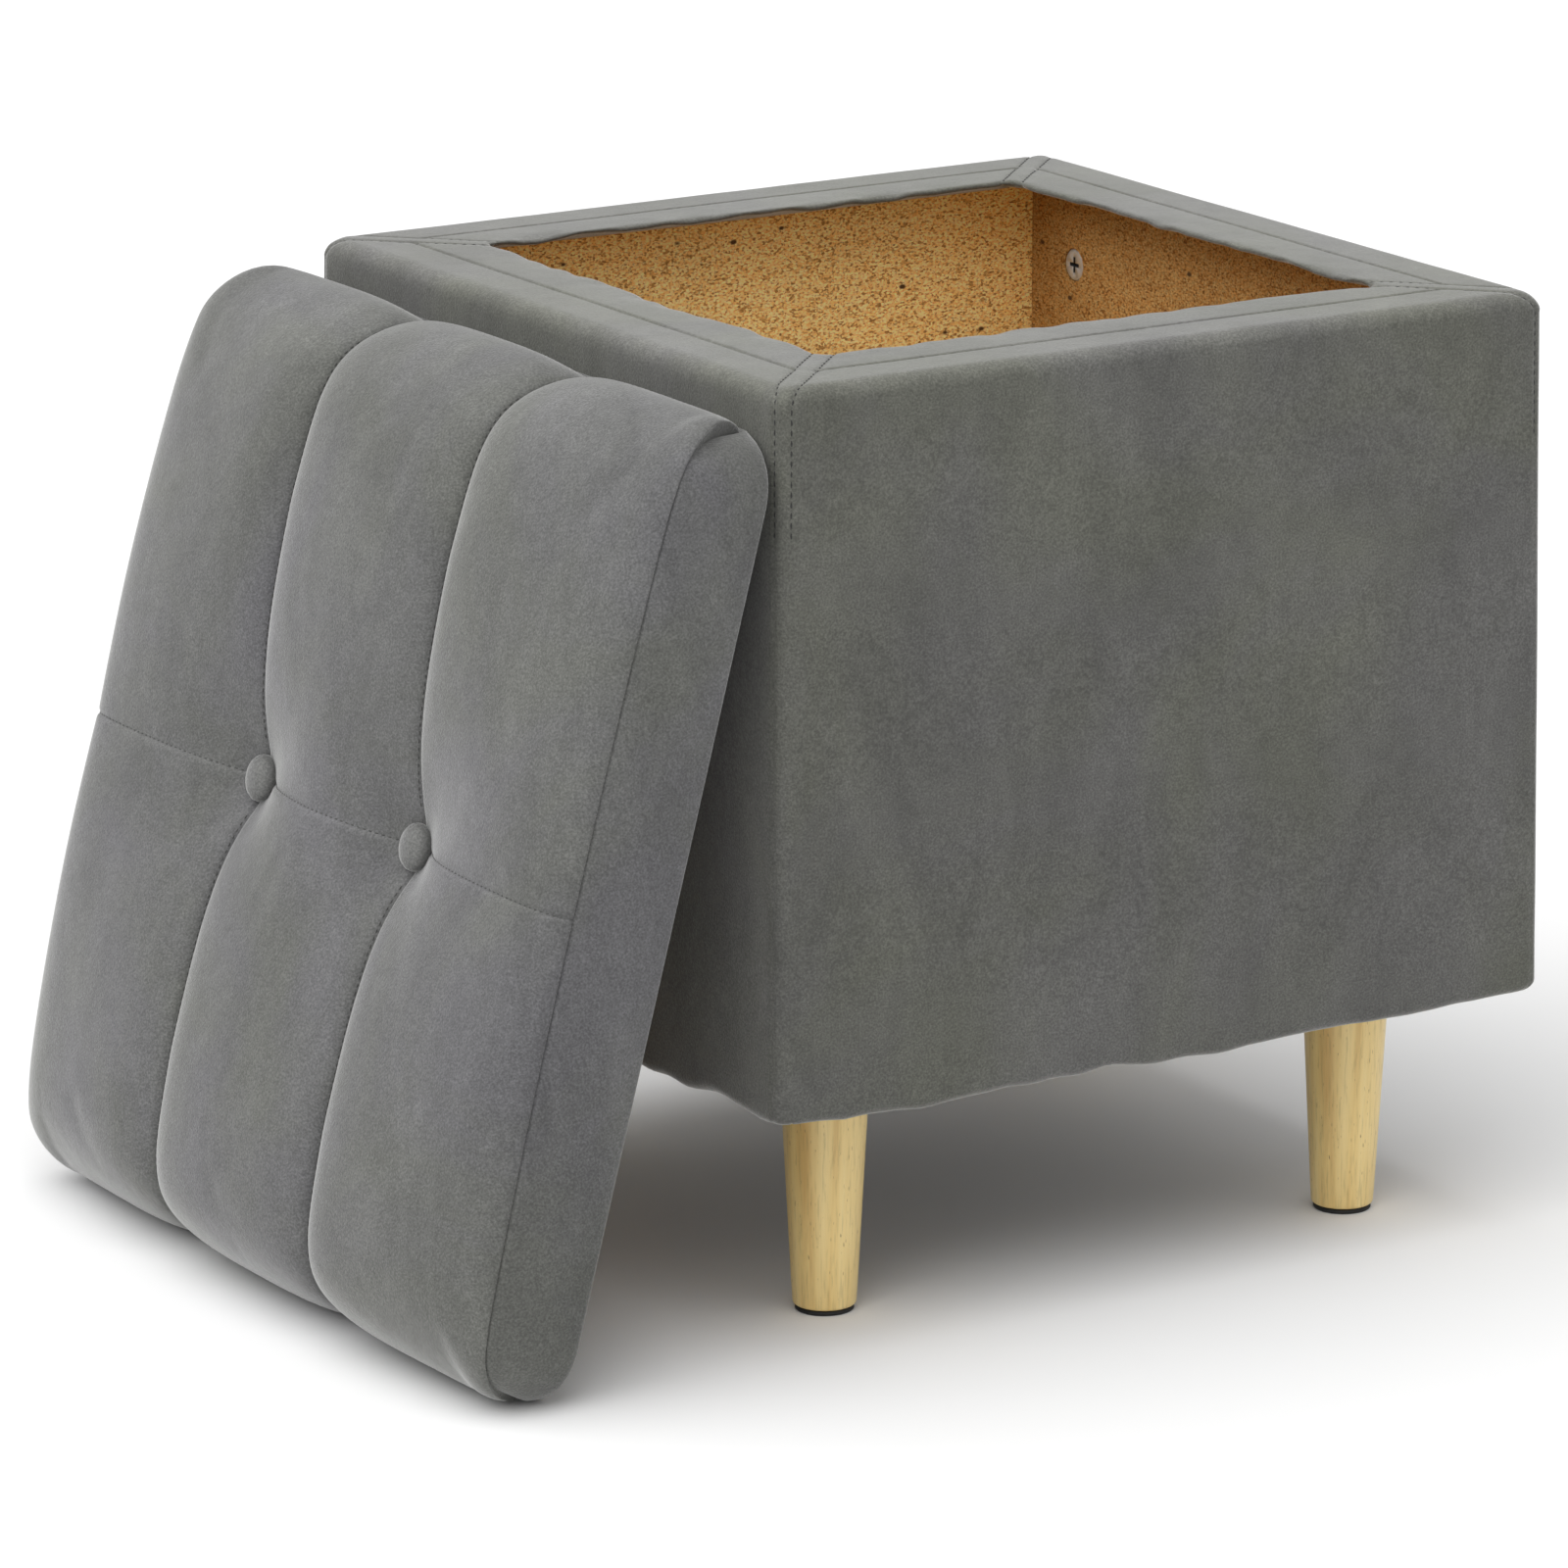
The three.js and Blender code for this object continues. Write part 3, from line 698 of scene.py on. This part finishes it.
def make_box_cover(material, stitch_thread_painted_shade):
    low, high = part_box("box_cover")
    middle = np.array([(low.x + high.x) / 2, (low.y + high.y) / 2, 0])
    grid, offset = cover_grid((high.x - low.x) / 2, low.z, high.z)
    normals = grid_normals(grid)
    inner = grid - normals * COVER_SKIN
    sheet = np.concatenate([grid, inner[::-1]]) + middle
    rows, columns = sheet.shape[:2]
    faces = grid_faces(rows, columns, wrap_rows=True)
    cover = mesh_object("cover_velvet", sheet.reshape(-1, 3), faces, material)
    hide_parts("box_cover")
    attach(cover, "box")

    heights = grid[:, 0, 2]
    upper = np.where(heights > high.z - STITCH_DROP)[0]
    upper = upper[upper < np.where(heights > high.z - 0.0016)[0][-1]]
    stitched = np.where(np.isclose(np.abs(offset[0]), STITCH_ROW, atol=2e-4))[0]
    lines = [[(grid[i, k] + middle, normals[i, k]) for i in upper] for k in stitched]
    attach(stitches("cover_stitches", lines, COVER_STITCH, stitch_thread_painted_shade), "box")


# ---------------------------------------------------------------- lid cushion


def lid_frame():
    """Turns the lid's coordinates s, y, n into the model's, at rest."""
    low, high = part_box("box_cover")
    up_slope = Vector((math.sin(LEAN), 0, math.cos(LEAN)))
    across = Vector((0, 1, 0))
    outward = Vector((-math.cos(LEAN), 0, math.sin(LEAN)))
    origin = Vector(
        (
            low.x - LEAN_GAP - LID_HALF * math.sin(LEAN),
            (low.y + high.y) / 2 + LID_SHIFT_Y,
            LID_HALF * math.cos(LEAN),
        )
    )
    turn = Matrix((up_slope, across, outward)).transposed().to_4x4()
    return Matrix.Translation(origin) @ turn


def mirrored(half):
    """Places from 0 up, with their mirror images below 0."""
    return np.array([-p for p in reversed(half[1:])] + half)


def cushion_columns():
    """Places across the cushion, close together at the channels and round the corners."""
    straight = LID_HALF - LID_CORNER
    half = list(np.linspace(0, CHANNEL_Y - CHANNEL_SIDE, 12))
    half += [CHANNEL_Y + d for d in CHANNEL_STEPS]
    half += list(np.linspace(CHANNEL_Y + CHANNEL_SIDE, straight, 20))
    half += [straight + LID_CORNER * math.sin(a) for a in np.radians(CORNER_ANGLES)]
    return mirrored(half)


def cushion_rows():
    """Shares of the way up the cushion, close together at the mid seam. Towards an end they
    are spaced by how far the crown has fallen there."""
    falls = np.concatenate([[0.97, 0.94, 0.90, 0.85, 0.79], np.linspace(0.72, 0.08, 10), [0.03, 0]])
    half = [*MID_STEPS, *np.linspace(0.062, 0.81, 31), *(1 - falls ** 2) ** (1 / END_POWER)]
    return mirrored(half)


def side_level(s):
    """Height of the seam along the cushion's sides, a little lower towards the ends."""
    return SEAM_LEVEL - SEAM_SAG * np.clip(np.abs(s) / LID_HALF, 0, 1) ** 2


def end_level(y):
    """Height of the crown's edge at the ends: at the hem, and up to the side seam in an arc
    round each corner."""
    past = np.clip((np.abs(y) - LID_HALF + LID_CORNER) / LID_CORNER, 0, 1)
    return END_LEVEL + (side_level(LID_HALF) - END_LEVEL) * past


def puff_share(y):
    """How full the cushion is across: 0 at the channels and sides, 1 over each puff."""
    middle = (CHANNEL_Y + LID_HALF) / 2
    outer = np.abs(y) > CHANNEL_Y
    t = np.where(outer, np.abs(np.abs(y) - middle) / (LID_HALF - middle), np.abs(y) / CHANNEL_Y)
    power = np.where(np.abs(y) > middle, OUTER_POWER, INNER_POWER)
    return np.sqrt(np.clip(1 - np.clip(t, 0, 1) ** power, 0, 1))


def cushion_level(s, y, share):
    """Height of the crown at s, y, where share is how far s is towards the cushion's end."""
    puff = puff_share(y)
    to_side = np.clip((np.abs(y) - CHANNEL_Y) / (LID_HALF - CHANNEL_Y), 0, 1) ** 1.4
    channel = CHANNEL_LEVEL - CHANNEL_SAG * np.clip(np.abs(share) - 0.6, 0, 1) / 0.4
    top = channel + (side_level(s) - channel) * to_side
    top = top + (CROWN_LIFT + SIDE_LIFT * to_side) * puff
    top = top - END_DROP * share ** 2 * to_side * puff
    mid_seam = MID_ARCH[0] * bell(s, MID_ARCH[1])
    mid_seam += MID_CREASE[0] * np.exp(-np.abs(s) / MID_CREASE[1])
    top = top - mid_seam * (1 - 0.6 * to_side) * puff
    away = np.hypot(s, np.abs(y) - CHANNEL_Y)
    reach = np.where(s > 0, *BUTTON_REACH)
    pull = np.exp(-np.maximum(away - BUTTON_FLAT, 0) / reach)
    top = top + (BUTTON_LEVEL - top) * pull
    end = end_level(y)
    fall = np.sqrt(np.clip(1 - np.abs(share) ** END_POWER, 0, 1))
    return end + (top - end) * fall


def outline_point(place, inset):
    """Moves a point of the cushion's outline inwards, square to the outline."""
    core = np.clip(place, LID_CORNER - LID_HALF, LID_HALF - LID_CORNER)
    spoke = place - core
    length = np.linalg.norm(spoke)
    return core + spoke / length * (LID_CORNER - inset)


def cushion_crown(shares, across):
    """The crown's points, in rows up the cushion: its padded face with both ends."""
    straight = LID_HALF - LID_CORNER
    past = np.clip(np.abs(across) - straight, 0, LID_CORNER)
    reach = straight + np.sqrt(np.clip(LID_CORNER ** 2 - past ** 2, 0, None))
    share, y = np.meshgrid(shares, across, indexing="ij")
    s = share * reach[None, :]
    level = cushion_level(s, y, share)
    near_end = np.clip((np.abs(share) - END_START) / 0.1, 0, 1)
    round_end = np.sin(math.pi * np.clip(level / END_HEIGHT, 0, 1)) * near_end
    bulge = np.where(s > 0, TOP_BULGE, FOOT_BULGE)
    s = s + np.sign(s) * (bulge * puff_share(y) - END_TUCK) * round_end
    return np.stack([s, y, level], axis=2).reshape(-1, 3)


def crown_edge(index):
    """The crown's edge as one loop of points, from a grid of their numbers."""
    return np.concatenate([index[0, :-1], index[:-1, -1], index[-1, :0:-1], index[:0:-1, 0]])


def cushion_mesh(shares, across, index, edge):
    """Points and faces of the cushion: the crown, rings down the sides, and the underside."""
    crown = cushion_crown(shares, across)
    faces = [tuple(reversed(f)) for f in grid_faces(*index.shape, wrap_columns=False)]
    plan, seam = crown[edge, :2], crown[edge, 2]
    rings = [(-SIDE_BULGE * math.sin(math.pi * t), seam * (1 - t)) for t in SIDE_SHARES]
    rings += [(0.0004, 0.0012), (0.0022, 0), (0.012, 0), (LID_HEM, 0)]
    rings.append((LID_HEM + 0.0003, HEM_LIFT))
    points = [crown]
    count = len(edge)
    before = edge
    for k, (inset, level) in enumerate(rings):
        moved = np.array([outline_point(p, inset) for p in plan])
        points.append(np.column_stack([moved, np.full(count, level)]))
        ring = index.size + k * count + np.arange(count)
        for j in range(count):
            n = (j + 1) % count
            faces.append((before[j], before[n], ring[n], ring[j]))
        before = ring
    for j in range(count // 2 - 1):
        faces.append((before[j], before[j + 1], before[count - 2 - j], before[count - 1 - j]))
    return np.concatenate(points), [tuple(int(v) for v in f) for f in faces]


def puff_up(obj, pinned, cap):
    """Fills the cushion with Cloth pressure; no point moves further than its cap."""
    rest = np.array([v.co for v in obj.data.vertices])
    group = obj.vertex_groups.new(name="sewn")
    group.add([int(v) for v in pinned], 1.0, "REPLACE")
    cloth = obj.modifiers.new("fill", "CLOTH")
    settings = cloth.settings
    settings.quality = 6
    settings.mass = 0.25
    settings.tension_stiffness = 12
    settings.compression_stiffness = 12
    settings.shear_stiffness = 4
    settings.bending_stiffness = 0.6
    settings.use_pressure = True
    settings.uniform_pressure_force = FILL_PRESSURE
    settings.vertex_group_mass = group.name
    settings.effector_weights.gravity = 0
    cloth.point_cache.frame_start = 1
    cloth.point_cache.frame_end = FILL_FRAMES
    scene = bpy.context.scene
    for frame_number in range(1, FILL_FRAMES + 1):
        scene.frame_set(frame_number)
    graph = bpy.context.evaluated_depsgraph_get()
    swollen = np.array([v.co for v in obj.evaluated_get(graph).data.vertices])
    obj.modifiers.remove(cloth)
    obj.vertex_groups.clear()
    scene.frame_set(1)
    move = swollen - rest
    size = np.linalg.norm(move, axis=1, keepdims=True)
    return rest + move * np.minimum(1, cap[:, None] / np.maximum(size, TINY))


def sewn_points(points, index, edge, channels, mid_row):
    """Numbers of the points that the filling can't move: seams, buttons and underside."""
    s, y = points[: index.size, 0], points[: index.size, 1]
    away = np.hypot(s, np.abs(y) - CHANNEL_Y)
    underside = index.size + (len(SIDE_SHARES) - 1) * len(edge)
    sewn = set(edge) | set(index[:, channels].ravel()) | set(index[mid_row])
    return sorted(sewn | set(np.where(away < BUTTON_SEWN)[0]) | set(range(underside, len(points))))


def puff_caps(points, crown_count):
    """The most that each point may move: less at the sides, and less towards the ends."""
    cap = np.full(len(points), SIDE_CAP)
    to_end = np.clip((np.abs(points[:crown_count, 0]) - CAP_FADE) / CAP_FADE_WIDTH, 0, 1)
    cap[:crown_count] = PUFF_CAP * (1 - 0.85 * to_end)
    return cap


def set_points(mesh, points):
    mesh.vertices.foreach_set("co", points.ravel())
    mesh.update()


def press_seams(mesh, points, index, edge, channels, mid_row):
    """Sinks the seams and channels into the cushion, and keeps its foot off the floor."""
    grooves = np.zeros(len(points))
    grooves[index[:, channels].ravel()] = SEAM_DEPTH
    grooves[index[mid_row]] = 0.8 * SEAM_DEPTH
    grooves[edge] = np.where(points[edge, 2] > HEM_LEVEL, SEAM_DEPTH, HEM_DEPTH)
    set_points(mesh, points)
    normals = np.array([v.normal for v in mesh.vertices])
    points = points - normals * grooves[:, None]
    points[:, 0] = np.maximum(points[:, 0], -LID_HALF - FLOOR_SLOPE * points[:, 2])
    set_points(mesh, points)


def subdivide(obj):
    """Applies one level of subdivision to the mesh."""
    smooth = obj.modifiers.new("smooth", "SUBSURF")
    smooth.levels = smooth.render_levels = 1
    graph = bpy.context.evaluated_depsgraph_get()
    fine = bpy.data.meshes.new_from_object(obj.evaluated_get(graph))
    obj.modifiers.remove(smooth)
    obj.data = fine


def lid_seam_lines(cushion):
    """Lines of (point, normal) on the cushion along its mid seam and beside its channels."""
    shape = cushion.data
    tree = BVHTree.FromPolygons(
        [v.co.copy() for v in shape.vertices], [tuple(p.vertices) for p in shape.polygons]
    )
    edge = LID_HALF - 0.0006
    near, far = CHANNEL_Y - BUTTON_GAP, CHANNEL_Y + BUTTON_GAP
    across = ((-edge, -far), (-near, near), (far, edge))
    paths = [[(0, y) for y in np.linspace(start, end, 60)] for start, end in across]
    near, far = CHANNEL_SEWN
    for y in (-CHANNEL_Y, CHANNEL_Y):
        for start, end in ((-far, -near), (near, far)):
            paths.append([(s, y + CHANNEL_STITCH) for s in np.linspace(start, end, 80)])
    turn = cushion.matrix_world
    lines = []
    for path in paths:
        line = []
        for s, y in path:
            place, normal, _, _ = tree.ray_cast(Vector((s, y, 0.2)), Vector((0, 0, -1)))
            if place is not None:
                line.append((np.array(turn @ place), np.array(turn.to_3x3() @ normal)))
        lines.append(line)
    return lines


def make_cushion(material, seam_thread):
    shares, across = cushion_rows(), cushion_columns()
    index = np.arange(len(shares) * len(across)).reshape(len(shares), len(across))
    edge = crown_edge(index)
    channels = [int(np.argmin(np.abs(across - y))) for y in (-CHANNEL_Y, CHANNEL_Y)]
    mid_row = len(shares) // 2
    points, faces = cushion_mesh(shares, across, index, edge)
    cushion = mesh_object("lid_cushion", points, faces, material)
    cushion.matrix_world = lid_frame()
    sewn = sewn_points(points, index, edge, channels, mid_row)
    points = puff_up(cushion, sewn, puff_caps(points, index.size))
    press_seams(cushion.data, points, index, edge, channels, mid_row)
    subdivide(cushion)
    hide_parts("lid_cover", "lid_foam")
    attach(cushion, "lid")
    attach(stitches("lid_stitches", lid_seam_lines(cushion), LID_STITCH, seam_thread), "lid")
    cushion.data.transform(cushion.matrix_world)
    cushion.matrix_world = Matrix()


def make_buttons(material):
    """Covered buttons: domes with a rolled edge, and a fold where the cover turns under."""
    lid = lid_frame()
    profile = [(radius / 1000, BUTTON_FOOT + rise / 1000) for radius, rise in BUTTON_SHAPE]
    for end in ("front", "back"):
        low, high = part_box("lid_button_" + end)
        centre = lid.inverted() @ ((low + high) / 2)
        button = turned("lid_button_dome_" + end, profile, material, 56)
        button.matrix_world = lid @ Matrix.Translation((0, centre.y, 0))
        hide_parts("lid_button_" + end)
        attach(button, "lid")


# ---------------------------------------------------------------- rails, legs and fittings


def rail_mesh(low, high, axis, inward):
    """Points and faces of a rail along the other axis, bevelled underneath on its inner side."""
    outer, inner = (low[axis], high[axis]) if inward > 0 else (high[axis], low[axis])
    bevel = inner - inward * RAIL_BEVEL
    section = [(outer, low.z), (bevel, low.z), (inner, high.z - RAIL_EDGE)]
    section += [(inner, high.z), (outer, high.z)]
    points = []
    for along in (low[1 - axis], high[1 - axis]):
        points += [(a, along, z) if axis == 0 else (along, a, z) for a, z in section]
    faces = [tuple(reversed(range(5))), tuple(range(5, 10))]
    faces += [(k, (k + 1) % 5, 5 + (k + 1) % 5, 5 + k) for k in range(5)]
    if (inward > 0) == (axis == 0):
        faces = [tuple(reversed(f)) for f in faces]
    return points, faces


def make_rails(board):
    """The rim's rails, each with a thin edge beside the mouth."""
    for side, axis, inward in (("front", 1, 1), ("back", 1, -1), ("left", 0, 1), ("right", 0, -1)):
        points, faces = rail_mesh(*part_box("rim_rail_" + side), axis, inward)
        rail = mesh_object("rim_rail_bevelled_" + side, points, faces, board)
        rail.data.polygons.foreach_set("use_smooth", [False] * len(faces))
        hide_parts("rim_rail_" + side)
        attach(rail, "box")


def leg_profile(low_z, high_z):
    """(radius, height) of a leg from its rounded foot up its taper to a small shoulder."""
    slope = (LEG_TOP_RADIUS - LEG_FOOT_RADIUS) / (high_z - low_z)
    foot = arc((LEG_FOOT_RADIUS - LEG_ROUND, low_z + LEG_ROUND), LEG_ROUND, -90, 0, 6)
    heights = np.linspace(low_z + LEG_ROUND, high_z - LEG_SHOULDER, 14)[1:]
    shaft = [(LEG_FOOT_RADIUS + slope * (z - low_z), z) for z in heights]
    shoulder = [(LEG_TOP_RADIUS - LEG_SHOULDER, high_z), (0.003, high_z)]
    return [(0.003, low_z)] + foot + shaft + shoulder


def glide_profile(radius, low_z, high_z):
    """(radius, height) of a flat disc with its edges taken off."""
    profile = [(0.001, low_z), (radius - GLIDE_EDGE, low_z), (radius, low_z + GLIDE_EDGE)]
    profile += [(radius, high_z - GLIDE_EDGE), (radius - GLIDE_EDGE, high_z), (0.001, high_z)]
    return profile


def make_legs(wood, black):
    for corner in CORNERS:
        low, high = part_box("leg_" + corner)
        place = ((low.x + high.x) / 2, (low.y + high.y) / 2, 0)
        leg = turned("leg_turned_" + corner, leg_profile(low.z, high.z), wood)
        leg.location = place
        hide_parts("leg_" + corner)
        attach(leg, "box")
        low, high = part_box("leg_glide_" + corner)
        profile = glide_profile((high.x - low.x) / 2, low.z, high.z)
        glide = turned("glide_disc_" + corner, profile, black)
        glide.location = place
        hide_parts("leg_glide_" + corner)
        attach(glide, "box")


def cut(obj, cutters):
    """Cuts the cutters out of obj and leaves it as one plain mesh."""
    for cutter in cutters:
        tool = obj.modifiers.new("cut", "BOOLEAN")
        tool.operation = "DIFFERENCE"
        tool.solver = "EXACT"
        tool.material_mode = "TRANSFER"
        tool.object = cutter
    graph = bpy.context.evaluated_depsgraph_get()
    mesh = bpy.data.meshes.new_from_object(obj.evaluated_get(graph))
    obj.modifiers.clear()
    obj.data = mesh
    for cutter in cutters:
        bpy.data.objects.remove(cutter)


def bar(length, width, height, material):
    """A tapered bar along X, centred, that narrows downwards."""
    points = []
    for z, taper in ((-height, 0.6), (height, 1.0)):
        a, b = length / 2 * taper, width / 2 * taper
        points += [(-a, -b, z), (a, -b, z), (a, b, z), (-a, b, z)]
    faces = [(3, 2, 1, 0), (4, 5, 6, 7)]
    faces += [(k, (k + 1) % 4, 4 + (k + 1) % 4, 4 + k) for k in range(4)]
    return mesh_object("cutter", points, faces, material)


def cam_mesh(metal, slot_painted_shade):
    """A cam lock's drum about +Z, its face at z = 0 with a chamfer and a cross slot whose faces
    take a dark finish, painted shade in the recess.
    """
    r, edge = CAM_RADIUS, CAM_EDGE
    profile = [(0.0005, -CAM_DEPTH), (r, -CAM_DEPTH), (r, -edge), (r - edge, 0), (0.0005, 0)]
    drum = turned("cam_pattern", profile, metal, 48)
    slots = [bar(*CAM_SLOT, slot_painted_shade) for _ in range(2)]
    slots[1].rotation_euler.z = math.pi / 2
    bpy.context.view_layer.update()
    cut(drum, slots)
    mesh = drum.data
    bpy.data.objects.remove(drum)
    return mesh


def make_cams(metal, slot_painted_shade):
    mesh = cam_mesh(metal, slot_painted_shade)
    for corner in CORNERS:
        inward = 1 if corner.endswith("left") else -1
        for level, twist in (("upper", 0.0), ("lower", LOWER_CAM_TWIST)):
            node_name = f"cam_{corner}_{level}"
            low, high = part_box(node_name)
            cam = bpy.data.objects.new(f"cam_lock_{corner}_{level}", mesh)
            bpy.context.scene.collection.objects.link(cam)
            face = high.x if inward > 0 else low.x
            turn = Matrix.Rotation(inward * math.pi / 2, 4, "Y") @ Matrix.Rotation(twist, 4, "Z")
            centre = Vector((face, (low.y + high.y) / 2, (low.z + high.z) / 2))
            cam.matrix_world = Matrix.Translation(centre) @ turn
            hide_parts(node_name)
            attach(cam, frame["nodes"][node_name]["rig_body"])


def dress_cad_nodes(finishes):
    """Gives every CAD node that still shows its material."""
    for name, obj in frame["nodes"].items():
        if obj.hide_render:
            continue
        for start, finish in finishes:
            if name.startswith(start):
                obj.data.materials.clear()
                obj.data.materials.append(finish)
                break


# ---------------------------------------------------------------- stage


def make_floor():
    half = FLOOR_HALF
    points = [(-half, -half, 0), (half, -half, 0), (half, half, 0), (-half, half, 0)]
    material, tree, shader = new_material("floor")
    set_shader(
        tree, shader, Base_Color=(0.93, 0.93, 0.93, 1), Roughness=1.0, Specular_IOR_Level=0.0
    )
    mesh_object("floor", points, [(0, 1, 2, 3)], material)


def sun(name, towards, power, softness):
    """Daylight from one side; softness is the width of the source in degrees."""
    data = bpy.data.lights.new(name, "SUN")
    data.energy = power
    data.angle = math.radians(softness)
    light = bpy.data.objects.new(name, data)
    light.rotation_euler = Vector(towards).to_track_quat("Z", "Y").to_euler()
    bpy.context.scene.collection.objects.link(light)


def make_lights():
    world = bpy.data.worlds.new("studio")
    bpy.context.scene.world = world
    world.use_nodes = True
    background = world.node_tree.nodes["Background"]
    background.inputs["Color"].default_value = (1, 1, 1, 1)
    background.inputs["Strength"].default_value = SKY_STRENGTH
    sun("key", KEY_TOWARDS, KEY_POWER, KEY_SOFTNESS)
    bpy.context.scene.view_settings.view_transform = "Standard"


def make_camera():
    data = bpy.data.cameras.new("camera")
    data.lens = LENS_MM
    data.sensor_width = SENSOR_MM
    data.clip_end = 50
    camera = bpy.data.objects.new("camera", data)
    back = Vector(
        (
            math.sin(VIEW_AZIMUTH) * math.cos(VIEW_ELEVATION),
            -math.cos(VIEW_AZIMUTH) * math.cos(VIEW_ELEVATION),
            math.sin(VIEW_ELEVATION),
        )
    )
    camera.location = VIEW_TARGET + back * VIEW_DISTANCE
    camera.rotation_mode = "QUATERNION"
    camera.rotation_quaternion = (-back).to_track_quat("-Z", "Y")
    bpy.context.scene.collection.objects.link(camera)
    bpy.context.scene.camera = camera


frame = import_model()

make_camera()
make_floor()
make_lights()

# Box and lid are one velvet in two copies: shade makes the box's darker and olive and the lid's
# lighter and bluer, partly tint and partly painted light and shade; the gain paints light on faces
# that lie level, most on the box's rim.
box_velvet = velvet(
    "velvet_box", turn=(0, 0, 0), shade=(0.93, 0.92, 0.88), painted_top_light_gain=1.45, sheen=(1.0, 0.34)
)
lid_velvet = velvet(
    "velvet_lid", turn=(0, 0.3, 0.7), shade=(1.03, 1.02, 1.05), painted_top_light_gain=1.22, sheen=(0.85, 0.34)
)
# The box's stitches are near black: thread, and painted shade in their holes.
stitch_thread_painted_shade = thread("thread_dark_painted_shade", STITCH_THREAD_PAINTED_SHADE_TONES)
seam_thread = thread("thread_grey", GREY_THREAD_TONES)
wood = rubberwood()
metal = zinc()
black_rubber = rubber()
black_cloth = lining()
# One chipboard in two copies: tone makes the x copy (front, back and base) a little lighter,
# painted light, and the y copy (sides and lid boards) about half as bright, painted shade; each
# also shifts the tint.
flakes_along_x_painted_light = chipboard("chipboard_x_painted_light", stretch=(0.62, 1.0, 1.0), tone=(1.04, 1.12, 1.05))
flakes_along_y_painted_shade = chipboard("chipboard_y_painted_shade", stretch=(1.0, 0.62, 1.0), tone=(0.50, 0.42, 0.31))

make_box_cover(box_velvet, stitch_thread_painted_shade)
make_cushion(lid_velvet, seam_thread)
make_buttons(lid_velvet)
make_rails(hardboard())
make_legs(wood, black_rubber)
# The cams' slots take the black rubber, painted shade in their recesses.
make_cams(metal, black_rubber)
dress_cad_nodes(
    [
        ("front_panel", flakes_along_x_painted_light),
        ("back_panel", flakes_along_x_painted_light),
        ("left_panel", flakes_along_y_painted_shade),
        ("right_panel", flakes_along_y_painted_shade),
        ("base_panel", flakes_along_x_painted_light),
        ("lid_board", flakes_along_y_painted_shade),
        ("lid_locating_board", flakes_along_y_painted_shade),
        ("foam", foam()),
        ("base_lining", black_cloth),
        ("lid_lining", black_cloth),
        ("", metal),
    ]
)
